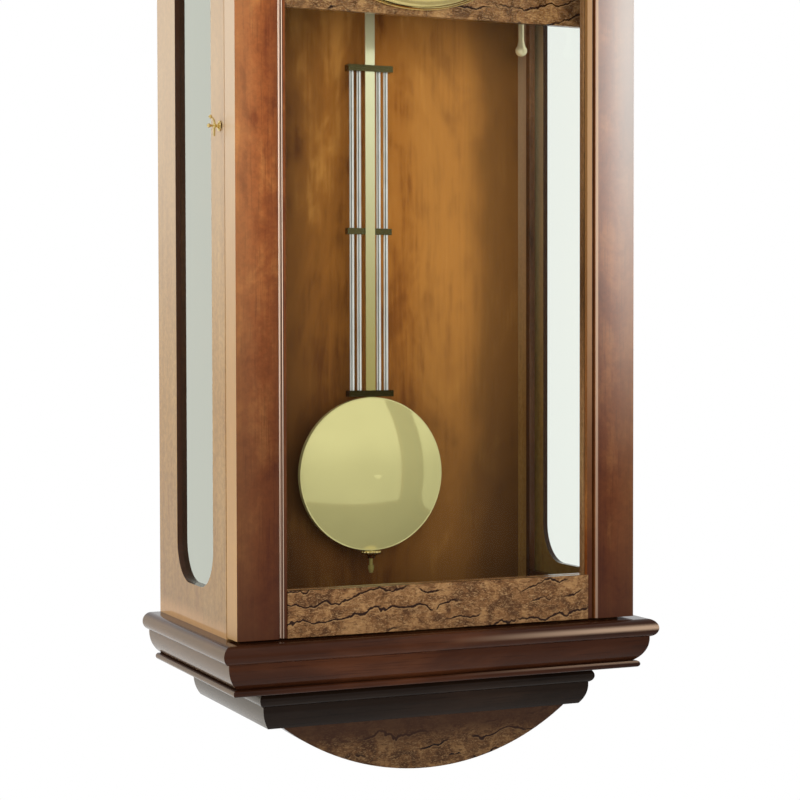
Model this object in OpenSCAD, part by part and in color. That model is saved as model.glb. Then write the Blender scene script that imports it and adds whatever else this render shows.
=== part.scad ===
// Chiming wall clock in a wooden case, with a glazed door, a gridiron pendulum and a rod chime.
// X runs to the right, Y runs into the wall, Z is up. The origin is the keyhole of the hanger plate.
// Modules work in "distance from the wall" and "height above the case bottom", then hang in place.

/* [Case] */
// Width of the case across its side panels
body_w = 320; // [305:1:360]
// Height of the case between base and crown
body_h = 735; // [720:1:800]
// Distance from the wall to the front of the door
body_d = 186; // [184:1:200]
// Thickness of a side panel
side_t = 10; // [9.5:0.5:13]
// Thickness of the back panel
back_t = 12; // [11:0.5:14]

/* [Side windows] */
// Distance from the wall to the rear edge of a window
window_rear = 46; // [42:1:50]
// Distance from the door's front to the front edge of a window
window_front_in = 53; // [50:1:66]
// Wood below and above a window
window_sill = 31; // [28:1:60]
// Corner radius of a window
window_r = 30; // [10:1:34]
// Thickness of the wooden lip outside the glass
window_lip = 4; // [3:0.5:5]
// Width of the rebate round a window
rebate_w = 15.5; // [10:0.5:16]
// Thickness of the side glass
side_glass_t = 3; // [2:0.5:3]
// Width of a glazing bead
bead_w = 6; // [4:0.5:8]
// How far a glazing bead stands out into the case
bead_proud = 2; // [0.5:0.5:3]

/* [Door] */
// Thickness of the door
door_t = 22; // [20:0.5:24]
// Seam between the door and the case
door_seam = 1.6; // [1.6:0.1:2.5]
// Gap above and below the door
door_play = 1.5; // [1:0.5:3]
// Width of a stile's flat face with its rounded edge
stile_w = 33; // [28:1:38]
// Radius of a stile's inner edge
stile_edge_r = 3.5; // [1:0.5:5]
// Width of the bead along the glass
sight_bead_w = 4; // [3:0.5:6]
// Width of the groove between stile and bead
sight_groove_w = 1.5; // [1:0.5:2.5]
// How far the bead's face lies behind the stile's face
sight_bead_back = 3; // [2:0.5:4]
// Height of a door rail
rail_h = 33.5; // [28:0.5:50]
// How far a rail's face lies behind the stile's face
rail_back = 1.5; // [0.5:0.5:2.5]
// Thickness of the door glass
door_glass_t = 3; // [2:0.5:3]
// Thickness of a glass stop
stop_t = 5; // [3:0.5:6]
// How deep the glass sits in the rails
glass_bite = 6; // [4:0.5:8]

/* [Hinges and latch] */
// Height of the lower hinge above the case bottom, and of the upper one below its top
hinge_end = 100; // [70:1:160]
// Radius of a hinge knuckle
knuckle_r = 2.4; // [2:0.1:3]
// Radius of a hinge pin
hinge_pin_r = 1.1; // [0.8:0.1:1.4]
// Length of one hinge knuckle
knuckle_h = 12; // [8:1:18]
// Width of a hinge leaf in the seam
leaf_w = 9; // [7:0.5:9.5]
// Height of the latch above the case bottom
latch_z = 366; // [340:1:380]
// Distance of the latch behind the case's front edge
latch_inset = 6.4; // [6:0.2:7]
// Radius of the latch shaft
latch_r = 2; // [1.5:0.1:2.4]
// Height of the latch wings
wing_h = 13; // [10:0.5:18]

/* [Base, crown and burl plates] */
// Height of the upper base moulding and of the lower crown moulding
tier_h = 37.5; // [34:0.5:44]
// How far the round nose stands out from the case
nose_out = 14.6; // [10:0.2:18]
// Thickness of the round nose
nose_h = 13.7; // [11:0.1:15]
// How far the ovolo starts behind the nose
ovolo_in = 5.3; // [4:0.1:7]
// Radius of the ovolo
ovolo_r = 21; // [20:1:26]
// Thickness of the small lip under the ovolo
lip_h = 5; // [4:0.5:6]
// How far the lip ends behind the nose
lip_in = 10.5; // [9:0.5:12]
// Height of the lower base moulding and of the upper crown moulding
plinth_h = 30.2; // [27:0.1:36]
// How far the smaller moulding's nose is set in from the case at the sides
plinth_in = 23.4; // [18:0.2:28]
// How far the smaller moulding's nose is set in from the door's front
plinth_front_in = 18; // [14:1:22]
// Thickness of the smaller nose
plinth_nose_h = 11; // [9:0.5:12]
// Radius of the smaller ovolo
plinth_ovolo_r = 24; // [22:1:28]
// Radius of the burl plates' arc
arc_r = 190; // [175:1:220]
// Height of the burl plates' arc
arc_h = 39.3; // [30:0.1:42]
// Thickness of the burl plates
arc_t = 20; // [12:1:24]
// How far a burl plate's face lies behind the smaller nose
arc_in = 11; // [8:1:16]

/* [Hanger] */
// Distance of the keyhole below the top of the case
hanger_drop = 45; // [40:1:70]
// Width of the hanger plate
hanger_w = 60; // [50:1:80]
// Height of the hanger plate
hanger_h = 44; // [42:1:50]
// Thickness of the hanger plate
hanger_t = 2; // [1.5:0.5:3]
// Radius of the keyhole
keyhole_r = 5; // [4.5:0.5:6]
// Width of the keyhole's slot
keyhole_slot_w = 5; // [4:0.5:5]
// Height of the slot's round end above the keyhole's centre
keyhole_slot_up = 13; // [11:0.5:14]
// Room behind the hanger plate for a screw head
hanger_pocket = 7; // [5:0.5:8]

/* [Dial and hands] */
// Distance of the dial's centre below the top of the case
dial_drop = 160; // [155:1:175]
// How far the dial plate reaches past the chapter ring
dial_margin = 9; // [7:0.5:12]
// Thickness of the dial plate
dial_t = 1.2; // [1:0.1:2]
// Outer radius of the chapter ring
chapter_r = 99; // [90:1:105]
// Width of the chapter ring
chapter_w = 31; // [20:1:36]
// Width of the bezel over the dial's edge
bezel_w = 11; // [8:1:12]
// Thickness of the dial board
dial_board_t = 6; // [4:0.5:8]
// Gap between the movement's front plate and the dial board
dial_gap = 8; // [7.5:0.5:9]
// How far the minute hand stops short of the chapter ring's edge
minute_short = 11; // [5:0.5:20]
// How far the hour hand stops short of the chapter ring's numerals
hour_short = 8; // [3:0.5:16]
// Thickness of a hand
hand_t = 1; // [0.6:0.1:1.4]

/* [Movement] */
// Width of a movement plate
plate_w = 160; // [158:1:170]
// Thickness of a movement plate
plate_t = 2.5; // [2:0.5:3]
// Height of the plates above the dial's centre
plate_up = 62; // [60:1:66]
// Depth of the plates below the dial's centre
plate_down = 58; // [56:1:64]
// How far the movement stands in front of the middle of the case's inside
movement_fore = 6.75; // [5.25:0.25:8]
// Clear space between the plates
plate_space = 49.5; // [49:0.5:51]
// Radius of a wheel arbor
arbor_r = 1.2; // [1:0.1:1.4]
// Radius of an arbor's pivot
pivot_r = 0.8; // [0.6:0.05:0.9]
// Teeth of a barrel's great wheel
great_teeth = 84; // [84:1:84]
// Teeth of the centre pinion
centre_leaves = 12; // [12:1:12]
// Module of the great wheels
great_module = 0.6; // [0.6:0.01:0.62]
// Teeth of the centre wheel
centre_teeth = 84; // [84:1:84]
// Teeth of the third wheel
third_teeth = 64; // [64:1:64]
// Leaves of the third and escape pinions
train_leaves = 8; // [8:1:8]
// Module of the going train
train_module = 0.5; // [0.48:0.01:0.5]
// Teeth of the escape wheel
escape_teeth = 30; // [30:1:30]
// Radius of the escape wheel
escape_r = 11.5; // [11:0.1:12]
// Height of the anchor arbor above the dial's centre
anchor_up = 42; // [41:0.5:43]
// Sideways distance of the strike and chime arbors from the centre
arbor_spread = 50; // [50:0.5:52]
// Depth of the strike and chime arbors below the centre
arbor_low = 12; // [10:0.5:14]
// Radius of a spring barrel
barrel_r = 22; // [18:0.5:22]
// Length of a spring barrel
barrel_len = 36; // [30:1:36]
// Radius of a winding arbor
winding_r = 3; // [2.5:0.1:3.2]
// Thickness of the movement shelf
shelf_t = 12; // [10:1:16]

/* [Pendulum] */
// Height of the bob's centre above the case bottom
bob_z = 107; // [97:1:120]
// Distance of the pendulum rods behind the movement
pendulum_back = 22.5; // [20.5:0.5:23.5]
// Radius of the bob
bob_r = 61; // [50:1:62]
// Thickness of the bob's rim
bob_rim = 5; // [4:0.5:7]
// Bulge of the bob's front
bob_front = 12.5; // [4:0.5:14]
// Bulge of the bob's back
bob_rear = 4; // [2:0.5:5]
// Width of the flat centre strip
strip_w = 8; // [6:0.5:9]
// Thickness of the flat centre strip
strip_t = 1.2; // [0.8:0.1:1.6]
// Height of the gridiron
grid_h = 262.5; // [220:0.5:266]
// Width of the gridiron
grid_w = 38; // [36:1:42]
// Height of a gridiron bar
bar_h = 5; // [5:0.1:8]
// Radius of a gridiron rod
grid_rod_r = 1.9; // [1.5:0.1:2]
// Distance of the inner rods from the middle
grid_inner = 8.4; // [7.5:0.1:8.8]
// Distance of the outer rods from the middle
grid_outer = 14.6; // [13.5:0.1:15]
// Radius of the rating nut
nut_r = 8.2; // [6:0.1:10]
// Radius of the pendulum's threaded end
stem_r = 1.5; // [1.2:0.1:1.8]

/* [Chimes] */
// Radius of a chime rod
chime_rod_r = 1.6; // [1.2:0.1:2]
// Length of the longest chime rod
chime_rod_len = 158; // [120:1:160]
// Difference in length between neighbouring chime rods
chime_rod_step = 7; // [4:1:10]
// Sideways distance of the first chime rod from the middle
chime_first = 35; // [33:0.5:36]
// Spacing of the chime rods
chime_pitch = 12; // [11:0.5:12]
// Distance of the chime rods behind the hammer heads
chime_back = 17; // [16:0.5:18]
// Height of the hammer arbor above the dial's centre
hammer_up = 48; // [47:0.5:49]
// Length from a hammer's arbor to its head
hammer_len = 46; // [42:1:48]
// Radius of a hammer's head
hammer_head_r = 4.5; // [3:0.5:5]
// Radius of the chime drum's lobes
drum_r = 9; // [8:0.1:9]

/* [Silence rod] */
// Distance of the silence rod from the case's outside
silence_in = 29; // [24:0.5:34]
// Distance of the silence rod behind the movement
silence_back = 12.5; // [9.5:0.5:15.5]
// Radius of the silence rod
silence_r = 2.3; // [1.5:0.1:2.6]
// Depth of the silence rod's ball below the dial's centre
silence_down = 126; // [100:1:140]
// Radius of the silence rod's ball
silence_ball_r = 4.9; // [4:0.1:6]

/* [Hidden] */
$fn = 96;

// Clearances
running = 0.06;     // a shaft in its bore
snug = 0.02;        // a fixed rod in its bore
play = 0.3;         // between parts that don't fit each other
slit = 0.2;         // the cut at a mitre
hair = 0.1;         // between faces of one body that must not touch
over = 1;           // how far a cut runs past a face

// Case
half_w = body_w / 2;
inner_x = half_w - side_t;
case_d = body_d - door_t - door_seam;
door_back = body_d - door_t;
hang_z = body_h - hanger_drop;
dial_z = body_h - dial_drop;
window_w = body_d - window_front_in - window_rear;
rebate_rear = window_rear - rebate_w;
rebate_front = window_rear + window_w + rebate_w;
rebate_sill = window_sill - rebate_w;
pane_out = half_w - window_lip;
pane_in = pane_out - side_glass_t;
ovolo_step = 1.3;       // drop from the nose to where an ovolo starts
plinth_ovolo_in = 3.6;  // how far the smaller ovolo starts behind its nose
plinth_fillet = 2.5;    // square fillet above the smaller nose
pocket_side = 4;        // room beside, below and above the keyhole in the back panel
pocket_low = 2;
pocket_high = 5;
hanger_screw_r = 3;
hanger_screw_in = 7;    // from the hanger plate's edges to a screw's centre

// Door
sight_x = half_w - stile_w - sight_groove_w - sight_bead_w;
rabbet_x = half_w - stile_w;
glass_front = body_d - sight_bead_back - sight_bead_w;
glass_back = glass_front - door_glass_t;
rail_top = door_play + rail_h;
glass_end = rail_top - glass_bite;
seam_d = case_d + door_seam / 2;
hinge_x = half_w + knuckle_r + play;
leaf_t = (door_seam - hair) / 2;
leaf_h = 3 * knuckle_h + 2 * play;
latch_d = case_d - latch_inset;
arm_len = 14;
arm_w = 6;
arm_t = 3;
arm_x = -inner_x + bead_proud + play + hair;
lug_up = 7;
lug_t = 3;
peg_r = 1.5;
peg_x = arm_x + 0.8;
peg_up = arm_w / 2 + peg_r + 0.5;
prong_x = arm_x + arm_t + play + hair;
prong_t = 1.4;
prong_past = 2.5;       // how far the prong runs past the peg
strike_t = 0.8;
strike_w = 16;
strike_low = 6;
strike_high = peg_up + 4;
key_out = 6;            // how far the key's bow stands out from the case
key_ball_r = 2.4;
key_ball_out = 2;
wing_in = 1.6;
wing_t = 2;
wing_w = 2.4;
wing_ball_r = 1.7;
rose_r = 4.5;
rose_t = 1.2;
peg_in = sqrt(pow(norm([arm_len, lug_up]) + peg_r + play, 2) - peg_up * peg_up);

// Dial and hands
dial_r = chapter_r + dial_margin;
minute_len = chapter_r - minute_short;
hour_len = chapter_r - chapter_w - hour_short;
chapter_t = 0.8;
dial_hole_r = 6;            // round the hands' pipes
winding_hole_r = 5.5;       // round a winding square
board_hole_play = 2.5;      // how much larger the board's holes are than the plate's
board_low = 10;             // board below and above the dial plate
board_high = 28;
bezel_lap = 5;              // bezel over the dial plate's edge
bezel_foot_h = 3;
bezel_flange_t = 2;
bezel_round_up = 1.3;
hour_hand_gap = 5.8;        // from the dial to the hour hand
hand_gap = 3;               // from the hour hand to the minute hand
minute_wide = 9;
hour_wide = 12;
minute_angle = -60;         // the hands stand at ten past ten
hour_angle = 55;
minute_pipe_r = 2.6;
hour_pipe_r = 4;

// Movement layers, as distances from the wall
rear_plate_d = (back_t + door_back - plate_space) / 2 - plate_t + movement_fore;
rear_plate_f = rear_plate_d + plate_t;
front_plate_d = rear_plate_f + plate_space;
front_plate_f = front_plate_d + plate_t;
dial_board_d = front_plate_f + dial_gap;
dial_d = dial_board_d + dial_board_t;
dial_f = dial_d + dial_t;
hour_hand_d = dial_f + hour_hand_gap;
minute_hand_d = hour_hand_d + hand_t + hand_gap;
centre_d = rear_plate_f + 4;
great_d = rear_plate_f + 7.5;
escape_d = rear_plate_f + 12;
third_d = front_plate_d - 25;
cannon_d = front_plate_f + 1;
minute_wheel_d = cannon_d + 1;
hour_wheel_d = cannon_d + 3.4;
pendulum_d = rear_plate_d - pendulum_back;
hammer_d = rear_plate_d - 11.5;
hammer_head_d = hammer_d - 12;
chime_d = hammer_head_d - chime_back;
silence_d = rear_plate_d - silence_back;

// Arbor places, as [x, z] from the dial's centre
great_reach = (great_teeth + centre_leaves) * great_module / 2;
centre_p = [0, 0];
time_p = [0, -great_reach];
strike_p = [-arbor_spread, -arbor_low];
chime_p = [arbor_spread, -arbor_low];
anchor_p = [0, anchor_up];
pallet_half = 42;
escape_p = anchor_p - [0, escape_r / cos(pallet_half)];
third_p = meeting(centre_p, (centre_teeth + train_leaves) * train_module / 2,
    escape_p, (third_teeth + train_leaves) * train_module / 2);
cannon_teeth = 12;
cannon_module = 0.5;
minute_teeth = 36;
minute_leaves = 12;
minute_module = 0.4;
hour_teeth = 48;
minute_p = [-(cannon_teeth + minute_teeth) * cannon_module / 2, 0];
plate_corner = 3;
pillar_in = 7;              // from a plate's side to a pillar's centre
pillar_x = plate_w / 2 - pillar_in;
pillar_zs = [pillar_in - plate_down, plate_up - 5.5];
pillar_r = 4;
pillar_nut_r = 3.6;
pillar_nut_t = 3;
post_r = 1;
wheel_t = 1.5;
thin_wheel_t = 1.2;
great_t = 2.5;
pinion_t = 3;
hub_r = 3;
collet_r = minute_pipe_r + 1.2;
collet_t = 2;
winding_pivot_r = winding_r - 0.9;
winding_square = 1.38 * winding_r;
winding_proud = 2.8;        // how far a winding square stands out from the dial
barrel_cap_in = 4;
barrel_cap_t = 1;

// Pendulum
pivot_z = dial_z + anchor_up;
chop_z = 5;                 // suspension spring: chops above and block below the bending point
chop_h = 4;
chop_w = 12;
chop_t = 1.8;
spring_w = 8;
spring_t = 0.4;
bracket_w = 18;
bracket_h = 14;
bracket_rear = 4;
block_w = 10;
block_t = 3;
block_low = 7;
leader_r = 1.5;
leader_len = 84;
hook_h = 8;
crutch_d = rear_plate_d - 7;
crutch_w = 4;
crutch_t = 2;
fork_x = leader_r + 0.4;
fork_t = 1.4;
fork_h = 3;
fork_down = 52.5;
fork_past = 3;
pallet_w = 0.7;
pallet_h = 2;
shelf_slot_w = 36;
shelf_slot_rear = 8;
shelf_slot_front = 12;
strip_d = pendulum_d + grid_rod_r + 0.5;
bob_d = strip_d + strip_t / 2;
bar_rear_d = pendulum_d - 3;
bar_past = 1.8;             // bar in front of the strip
rim_step = 1;
nut_t = 3;
nut_neck_r = 3.4;
stem_low = 14;
stem_high = 6;
stem_tip_out = 1;
stem_tip_h = 3;
grid_bottom = bob_z + bob_r + 0.5;
grid_top = grid_bottom + grid_h;
grid_middle = (grid_bottom + grid_top) / 2;
bob_low = bob_z - bob_r;
leader_end = pivot_z - leader_len;

// Chimes
chime_xs = [for (i = [0:3]) chime_first + i * chime_pitch];
block_z = dial_z + 113;
block_h = 28;
block_side = 10;            // chime block past the outer rods, and in front of them
block_front = 7;
chime_seat = 15;            // how deep a chime rod sits in the block
hammer_z = dial_z + hammer_up;
hammer_arbor_r = 1.5;
hammer_hub_r = 3.5;
hammer_hub_w = 4;
hammer_arm_w = 2;
hammer_arm_t = 3;
hammer_head_rear = 8;
hammer_head_front = 4;
hammer_tip_r = 2.4;
hammer_tip_h = 2.4;
hammer_tail_gap = 0.8;      // from the drum's lobes to a hammer's tail
drum_z = hammer_z - 2 * drum_r;
drum_core_r = 5;
lobe_w = 3;
lobes = 8;
cheek_left = chime_xs[0] - 9;
cheek_right = chime_xs[3] + 7;
cheek_t = 2;
cheek_rear = 8;
cheek_low = hammer_z - 26;
cheek_high = hammer_z + 4;
silence_x = half_w - silence_in;
silence_travel = 8;
silence_neck_h = 8.5;
silence_collar_out = 2;
silence_collar_h = 4;
silence_bar_t = 3;
silence_bar_up = 20;        // top of the bar above the dial's centre
shelf_z = dial_z - plate_down - shelf_t;
clear_x = inner_x - bead_proud - play;    // half the room between the glazing beads

// Meeting point of two circles, on the right of the line from a to b
function meeting(a, ra, b, rb) =
    let (d = norm(b - a), e = (b - a) / d, u = (ra * ra - rb * rb + d * d) / (2 * d))
    a + u * e + sqrt(ra * ra - u * u) * [e[1], -e[0]];
function bearing(a, b) = atan2(b[1] - a[1], b[0] - a[0]);

// Placing helpers
module hung() { translate([0, 0, -hang_z]) children(); }
module block(x0, x1, d0, d1, z0, z1) { translate([x0, -d1, z0]) cube([x1 - x0, d1 - d0, z1 - z0]); }
// Draws [x, z] outlines, from distance d0 to d1 from the wall
module outward(d0, d1) { translate([0, -d0, 0]) rotate([90, 0, 0]) linear_extrude(d1 - d0) children(); }
// Draws [distance from the wall, z] outlines, from x0 to x1
module along_x(x0, x1) {
    translate([x0, 0, 0]) rotate([90, 0, 90]) linear_extrude(x1 - x0) mirror([1, 0]) children();
}
module pin_out(r, d0, d1) { translate([0, -d0, 0]) rotate([90, 0, 0]) cylinder(r = r, h = d1 - d0); }
module pin_x(r, x0, x1) { translate([x0, 0, 0]) rotate([0, 90, 0]) cylinder(r = r, h = x1 - x0); }
module both_sides() {
    children();
    mirror([1, 0, 0]) children();
}
module at_arbor(p) { translate([p[0], 0, dial_z + p[1]]) children(); }
module rounded_rect(x0, x1, y0, y1, r) {
    translate([x0 + r, y0]) square([x1 - x0 - 2 * r, y1 - y0]);
    translate([x0, y0 + r]) square([x1 - x0, y1 - y0 - 2 * r]);
    for (x = [x0 + r, x1 - r], y = [y0 + r, y1 - r]) translate([x, y]) circle(r);
}
module ring(outer, inner) {
    difference() {
        circle(outer);
        circle(inner);
    }
}

// Gear outline with one tooth centred on the angle phase
module gear(teeth, modul, phase = 0, tip = 0.8, foot = 1.1) {
    pitch_r = teeth * modul / 2;
    corners = [[-0.3, -foot], [-0.12, tip], [0.12, tip], [0.3, -foot]];
    polygon([for (i = [0:teeth - 1], q = corners)
        let (a = phase + (i + q[0]) * 360 / teeth) (pitch_r + q[1] * modul) * [cos(a), sin(a)]]);
}
// Wheel with spokes: the rim and hub are joined by flat arms
module crossed_wheel(outer, rim_w, hub, arm_w) {
    difference() {
        children();
        difference() {
            circle(outer - rim_w);
            circle(hub);
            for (a = [0:90:270]) rotate(a) translate([0, -arm_w / 2]) square([outer, arm_w]);
        }
    }
}

// Outline of a moulding, from the middle out to its nose, with its top at zero
module moulding_outline(edge, h, nose, step_in, arc, lip, lip_back, fillet) {
    top = fillet + nose;
    step = ovolo_step;
    if (fillet > 0) translate([0, -fillet]) square([edge - nose, fillet]);
    translate([0, -top]) square([edge - nose / 2, nose]);
    translate([edge - nose / 2, -fillet - nose / 2]) circle(nose / 2);
    translate([0, -top - step]) square([edge - step_in, step + over]);
    translate([0, -h + lip]) square([edge - step_in - arc, h - lip - top]);
    intersection() {
        translate([edge - step_in - arc, -top - step]) circle(arc);
        translate([0, -h + lip]) square([edge - step_in, h - lip - top - step]);
    }
    if (lip > 0) {
        translate([0, -h]) square([edge - lip_back - lip / 2, lip]);
        translate([edge - lip_back - lip / 2, -h + lip / 2]) circle(lip / 2);
    }
}
// The same outline runs round the front and both sides and meets in mitres
module moulding(edge_x, edge_d, top_z, h, nose, step_in, arc, lip, lip_back, fillet) {
    translate([0, 0, top_z]) intersection() {
        along_x(-edge_x - over, edge_x + over)
            moulding_outline(edge_d, h, nose, step_in, arc, lip, lip_back, fillet);
        outward(0, edge_d + over) for (s = [0, 1])
            mirror([s, 0]) moulding_outline(edge_x, h, nose, step_in, arc, lip, lip_back, fillet);
    }
}
module large_moulding(top_z) {
    moulding(half_w + nose_out, body_d + nose_out, top_z, tier_h, nose_h, ovolo_in, ovolo_r,
        lip_h, lip_in, 0);
}
module small_moulding(top_z, fillet) {
    moulding(half_w - plinth_in, body_d - plinth_front_in, top_z, plinth_h, plinth_nose_h,
        plinth_ovolo_in, plinth_ovolo_r, 0, 0, fillet);
}
module arc_plate() {
    face = body_d - plinth_front_in - arc_in;
    outward(face - arc_t, face) intersection() {
        translate([0, arc_h - arc_r]) circle(arc_r);
        translate([-arc_r, 0]) square([2 * arc_r, arc_h + over]);
    }
}

// Case
module window_opening() {
    rounded_rect(window_rear, window_rear + window_w, window_sill, body_h - window_sill, window_r);
}
module side_panel() {
    difference() {
        block(inner_x, half_w, 0, case_d, 0, body_h);
        along_x(inner_x - over, half_w + over) window_opening();
        block(inner_x - over, pane_out, rebate_rear, rebate_front, rebate_sill, body_h - rebate_sill);
    }
}
module side_panel_left() {
    color("sienna") hung() difference() {
        mirror([1, 0, 0]) side_panel();
        translate([0, -latch_d, latch_z]) pin_x(latch_r + running, -half_w - over, -inner_x + over);
    }
}
module side_panel_right() {
    color("sienna") hung() side_panel();
}
module back_panel() {
    color("peru") hung() difference() {
        block(-inner_x, inner_x, 0, back_t, 0, body_h);
        hanger_outline(-over, hanger_t);
        block(-keyhole_r - pocket_side, keyhole_r + pocket_side, 0, hanger_t + hanger_pocket,
            hang_z - keyhole_r - pocket_low, hang_z + keyhole_slot_up + pocket_high);
    }
}
module side_glass() {
    color("lightblue", 0.4) hung() both_sides()
        block(pane_in, pane_out, rebate_rear + play, rebate_front - play,
            rebate_sill + play, body_h - rebate_sill - play);
}
// Four mitred strips hold each pane
module window_beads() {
    low = [rebate_rear + play, rebate_sill + play];
    high = [rebate_front - play, body_h - rebate_sill - play];
    color("saddlebrown") hung() both_sides() along_x(inner_x - bead_proud, pane_in) difference() {
        translate(low) square(high - low);
        translate(low + [bead_w, bead_w]) square(high - low - [2 * bead_w, 2 * bead_w]);
        for (x = [0, 1], y = [0, 1])
            translate([x == 0 ? low[0] : high[0], y == 0 ? low[1] : high[1]])
                rotate(x == y ? 45 : -45) square([4 * bead_w, slit], center = true);
    }
}
module base_moulding_upper() {
    color("saddlebrown") hung() large_moulding(0);
}
module base_moulding_lower() {
    color("saddlebrown") hung() small_moulding(-tier_h, plinth_fillet);
}
module apron() {
    color("rosybrown") hung() translate([0, 0, -tier_h - plinth_h]) mirror([0, 0, 1]) arc_plate();
}
module crown_moulding_lower() {
    color("saddlebrown") hung() large_moulding(body_h + tier_h);
}
module crown_moulding_upper() {
    color("saddlebrown") hung() small_moulding(body_h + tier_h + plinth_h, 0);
}
module pediment() {
    color("rosybrown") hung() translate([0, 0, body_h + tier_h + plinth_h]) arc_plate();
}

// Hanger plate with a keyhole, let into the back panel, and its four screws
module hanger_outline(d0, d1) {
    block(-hanger_w / 2, hanger_w / 2, d0, d1, hang_z - hanger_h / 2, hang_z + hanger_h / 2);
}
module each_hanger_screw() {
    for (x = [-1, 1], z = [-1, 1])
        translate([x * (hanger_w / 2 - hanger_screw_in), 0, hang_z + z * (hanger_h / 2 - hanger_screw_in)])
            children();
}
module hanger_plate() {
    color("gray") hung() {
        difference() {
            hanger_outline(0, hanger_t);
            translate([0, 0, hang_z]) pin_out(keyhole_r, -over, hanger_t + over);
            block(-keyhole_slot_w / 2, keyhole_slot_w / 2, -over, hanger_t + over,
                hang_z, hang_z + keyhole_slot_up);
            translate([0, 0, hang_z + keyhole_slot_up])
                pin_out(keyhole_slot_w / 2, -over, hanger_t + over);
            each_hanger_screw() pin_out(hanger_screw_r + play, -over, hanger_t + over);
        }
        each_hanger_screw() pin_out(hanger_screw_r, slit, hanger_t);
    }
}

// Hinges: the case leaves carry the pins, the door leaf turns on them
module each_hinge() {
    for (z = [hinge_end, body_h - hinge_end - leaf_h]) translate([0, 0, z]) children();
}
module hinge_case_leaves() {
    color("gold") hung() each_hinge() {
        block(half_w - leaf_w, half_w, case_d, case_d + leaf_t, 0, leaf_h);
        translate([hinge_x, -seam_d, 0]) cylinder(r = hinge_pin_r, h = leaf_h);
        for (z = [0, 2 * (knuckle_h + play)]) {
            block(half_w - over, hinge_x, case_d, case_d + leaf_t, z, z + knuckle_h);
            translate([hinge_x, -seam_d, z]) cylinder(r = knuckle_r, h = knuckle_h);
        }
    }
}
module hinge_door_leaves() {
    z = knuckle_h + play;
    color("gold") hung() each_hinge() {
        block(half_w - leaf_w, half_w, door_back - leaf_t, door_back, 0, leaf_h);
        difference() {
            union() {
                block(half_w - over, hinge_x, door_back - leaf_t, door_back, z, z + knuckle_h);
                translate([hinge_x, -seam_d, z]) cylinder(r = knuckle_r, h = knuckle_h);
            }
            translate([hinge_x, -seam_d, z - over])
                cylinder(r = hinge_pin_r + running, h = knuckle_h + 2 * over);
        }
    }
}

// Door
module stile() {
    h = body_h - 2 * door_play;
    translate([0, 0, door_play]) linear_extrude(h) mirror([0, 1]) {
        translate([rabbet_x, door_back]) square([stile_w, door_t - stile_edge_r]);
        translate([rabbet_x + stile_edge_r, body_d - 2 * stile_edge_r])
            square([stile_w - stile_edge_r, 2 * stile_edge_r]);
        translate([rabbet_x + stile_edge_r, body_d - stile_edge_r]) circle(stile_edge_r);
        translate([sight_x, glass_front]) square([rabbet_x - sight_x + over, sight_bead_w / 2]);
        translate([sight_x, glass_front]) square([sight_bead_w, sight_bead_w]);
    }
}
module stile_left() {
    color("sienna") hung() mirror([1, 0, 0]) stile();
}
module stile_right() {
    color("sienna") hung() stile();
}
module rail() {
    block(-sight_x, sight_x, glass_front, body_d - rail_back, door_play, rail_top);
    block(-rabbet_x, rabbet_x, door_back, glass_front, door_play, glass_end - play);
}
module bottom_rail() {
    color("rosybrown") hung() rail();
}
module top_rail() {
    color("rosybrown") hung() translate([0, 0, body_h]) mirror([0, 0, 1]) rail();
}
module door_glass() {
    color("lightblue", 0.3) hung() block(-rabbet_x + play, rabbet_x - play, glass_back, glass_front,
        glass_end, body_h - glass_end);
}
// Four strips hold the glass from behind
module glass_stops() {
    w = rabbet_x - sight_x;
    color("saddlebrown") hung() {
        both_sides() block(rabbet_x - w, rabbet_x, glass_back - stop_t, glass_back,
            glass_end, body_h - glass_end);
        for (z = [glass_end, body_h - rail_top])
            block(-rabbet_x + w + slit, rabbet_x - w - slit, glass_back - stop_t, glass_back,
                z, z + rail_top - glass_end);
    }
}
// The catch on the door reaches into the case. Its peg stands behind the latch arm's lug when the
// arm is turned towards the wall, and passes over the arm's hub when the arm points down.
module latch_strike() {
    color("gold") hung() translate([0, 0, latch_z]) {
        block(prong_x, prong_x + strike_w, door_back - strike_t, door_back, -strike_low, strike_high);
        block(prong_x, prong_x + prong_t, latch_d - peg_in - prong_past, door_back,
            peg_up - peg_r, strike_high);
        translate([0, peg_in - latch_d, peg_up]) pin_x(peg_r, peg_x, prong_x + over);
    }
}
// The arm hangs down while the door is free and is turned up behind the peg to lock it
module latch_key() {
    shaft_out = -half_w - key_out;
    color("gold") hung() translate([0, -latch_d, latch_z]) {
        pin_x(latch_r, shaft_out, arm_x + arm_t);
        pin_x(rose_r, -half_w - slit - rose_t, -half_w - slit);
        translate([shaft_out - key_ball_out, 0, 0]) sphere(key_ball_r);
        translate([shaft_out + wing_in, 0, 0]) {
            cube([wing_t, wing_w, wing_h], center = true);
            for (z = [-1, 1]) translate([0, 0, z * wing_h / 2]) sphere(wing_ball_r);
        }
        pin_x(arm_w / 2, -inner_x + play + hair, arm_x + arm_t);
        translate([arm_x, -arm_w / 2, -arm_len]) cube([arm_t, arm_w, arm_len]);
        translate([arm_x, 0, -arm_len]) cube([arm_t, lug_up, lug_t]);
    }
}

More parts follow.
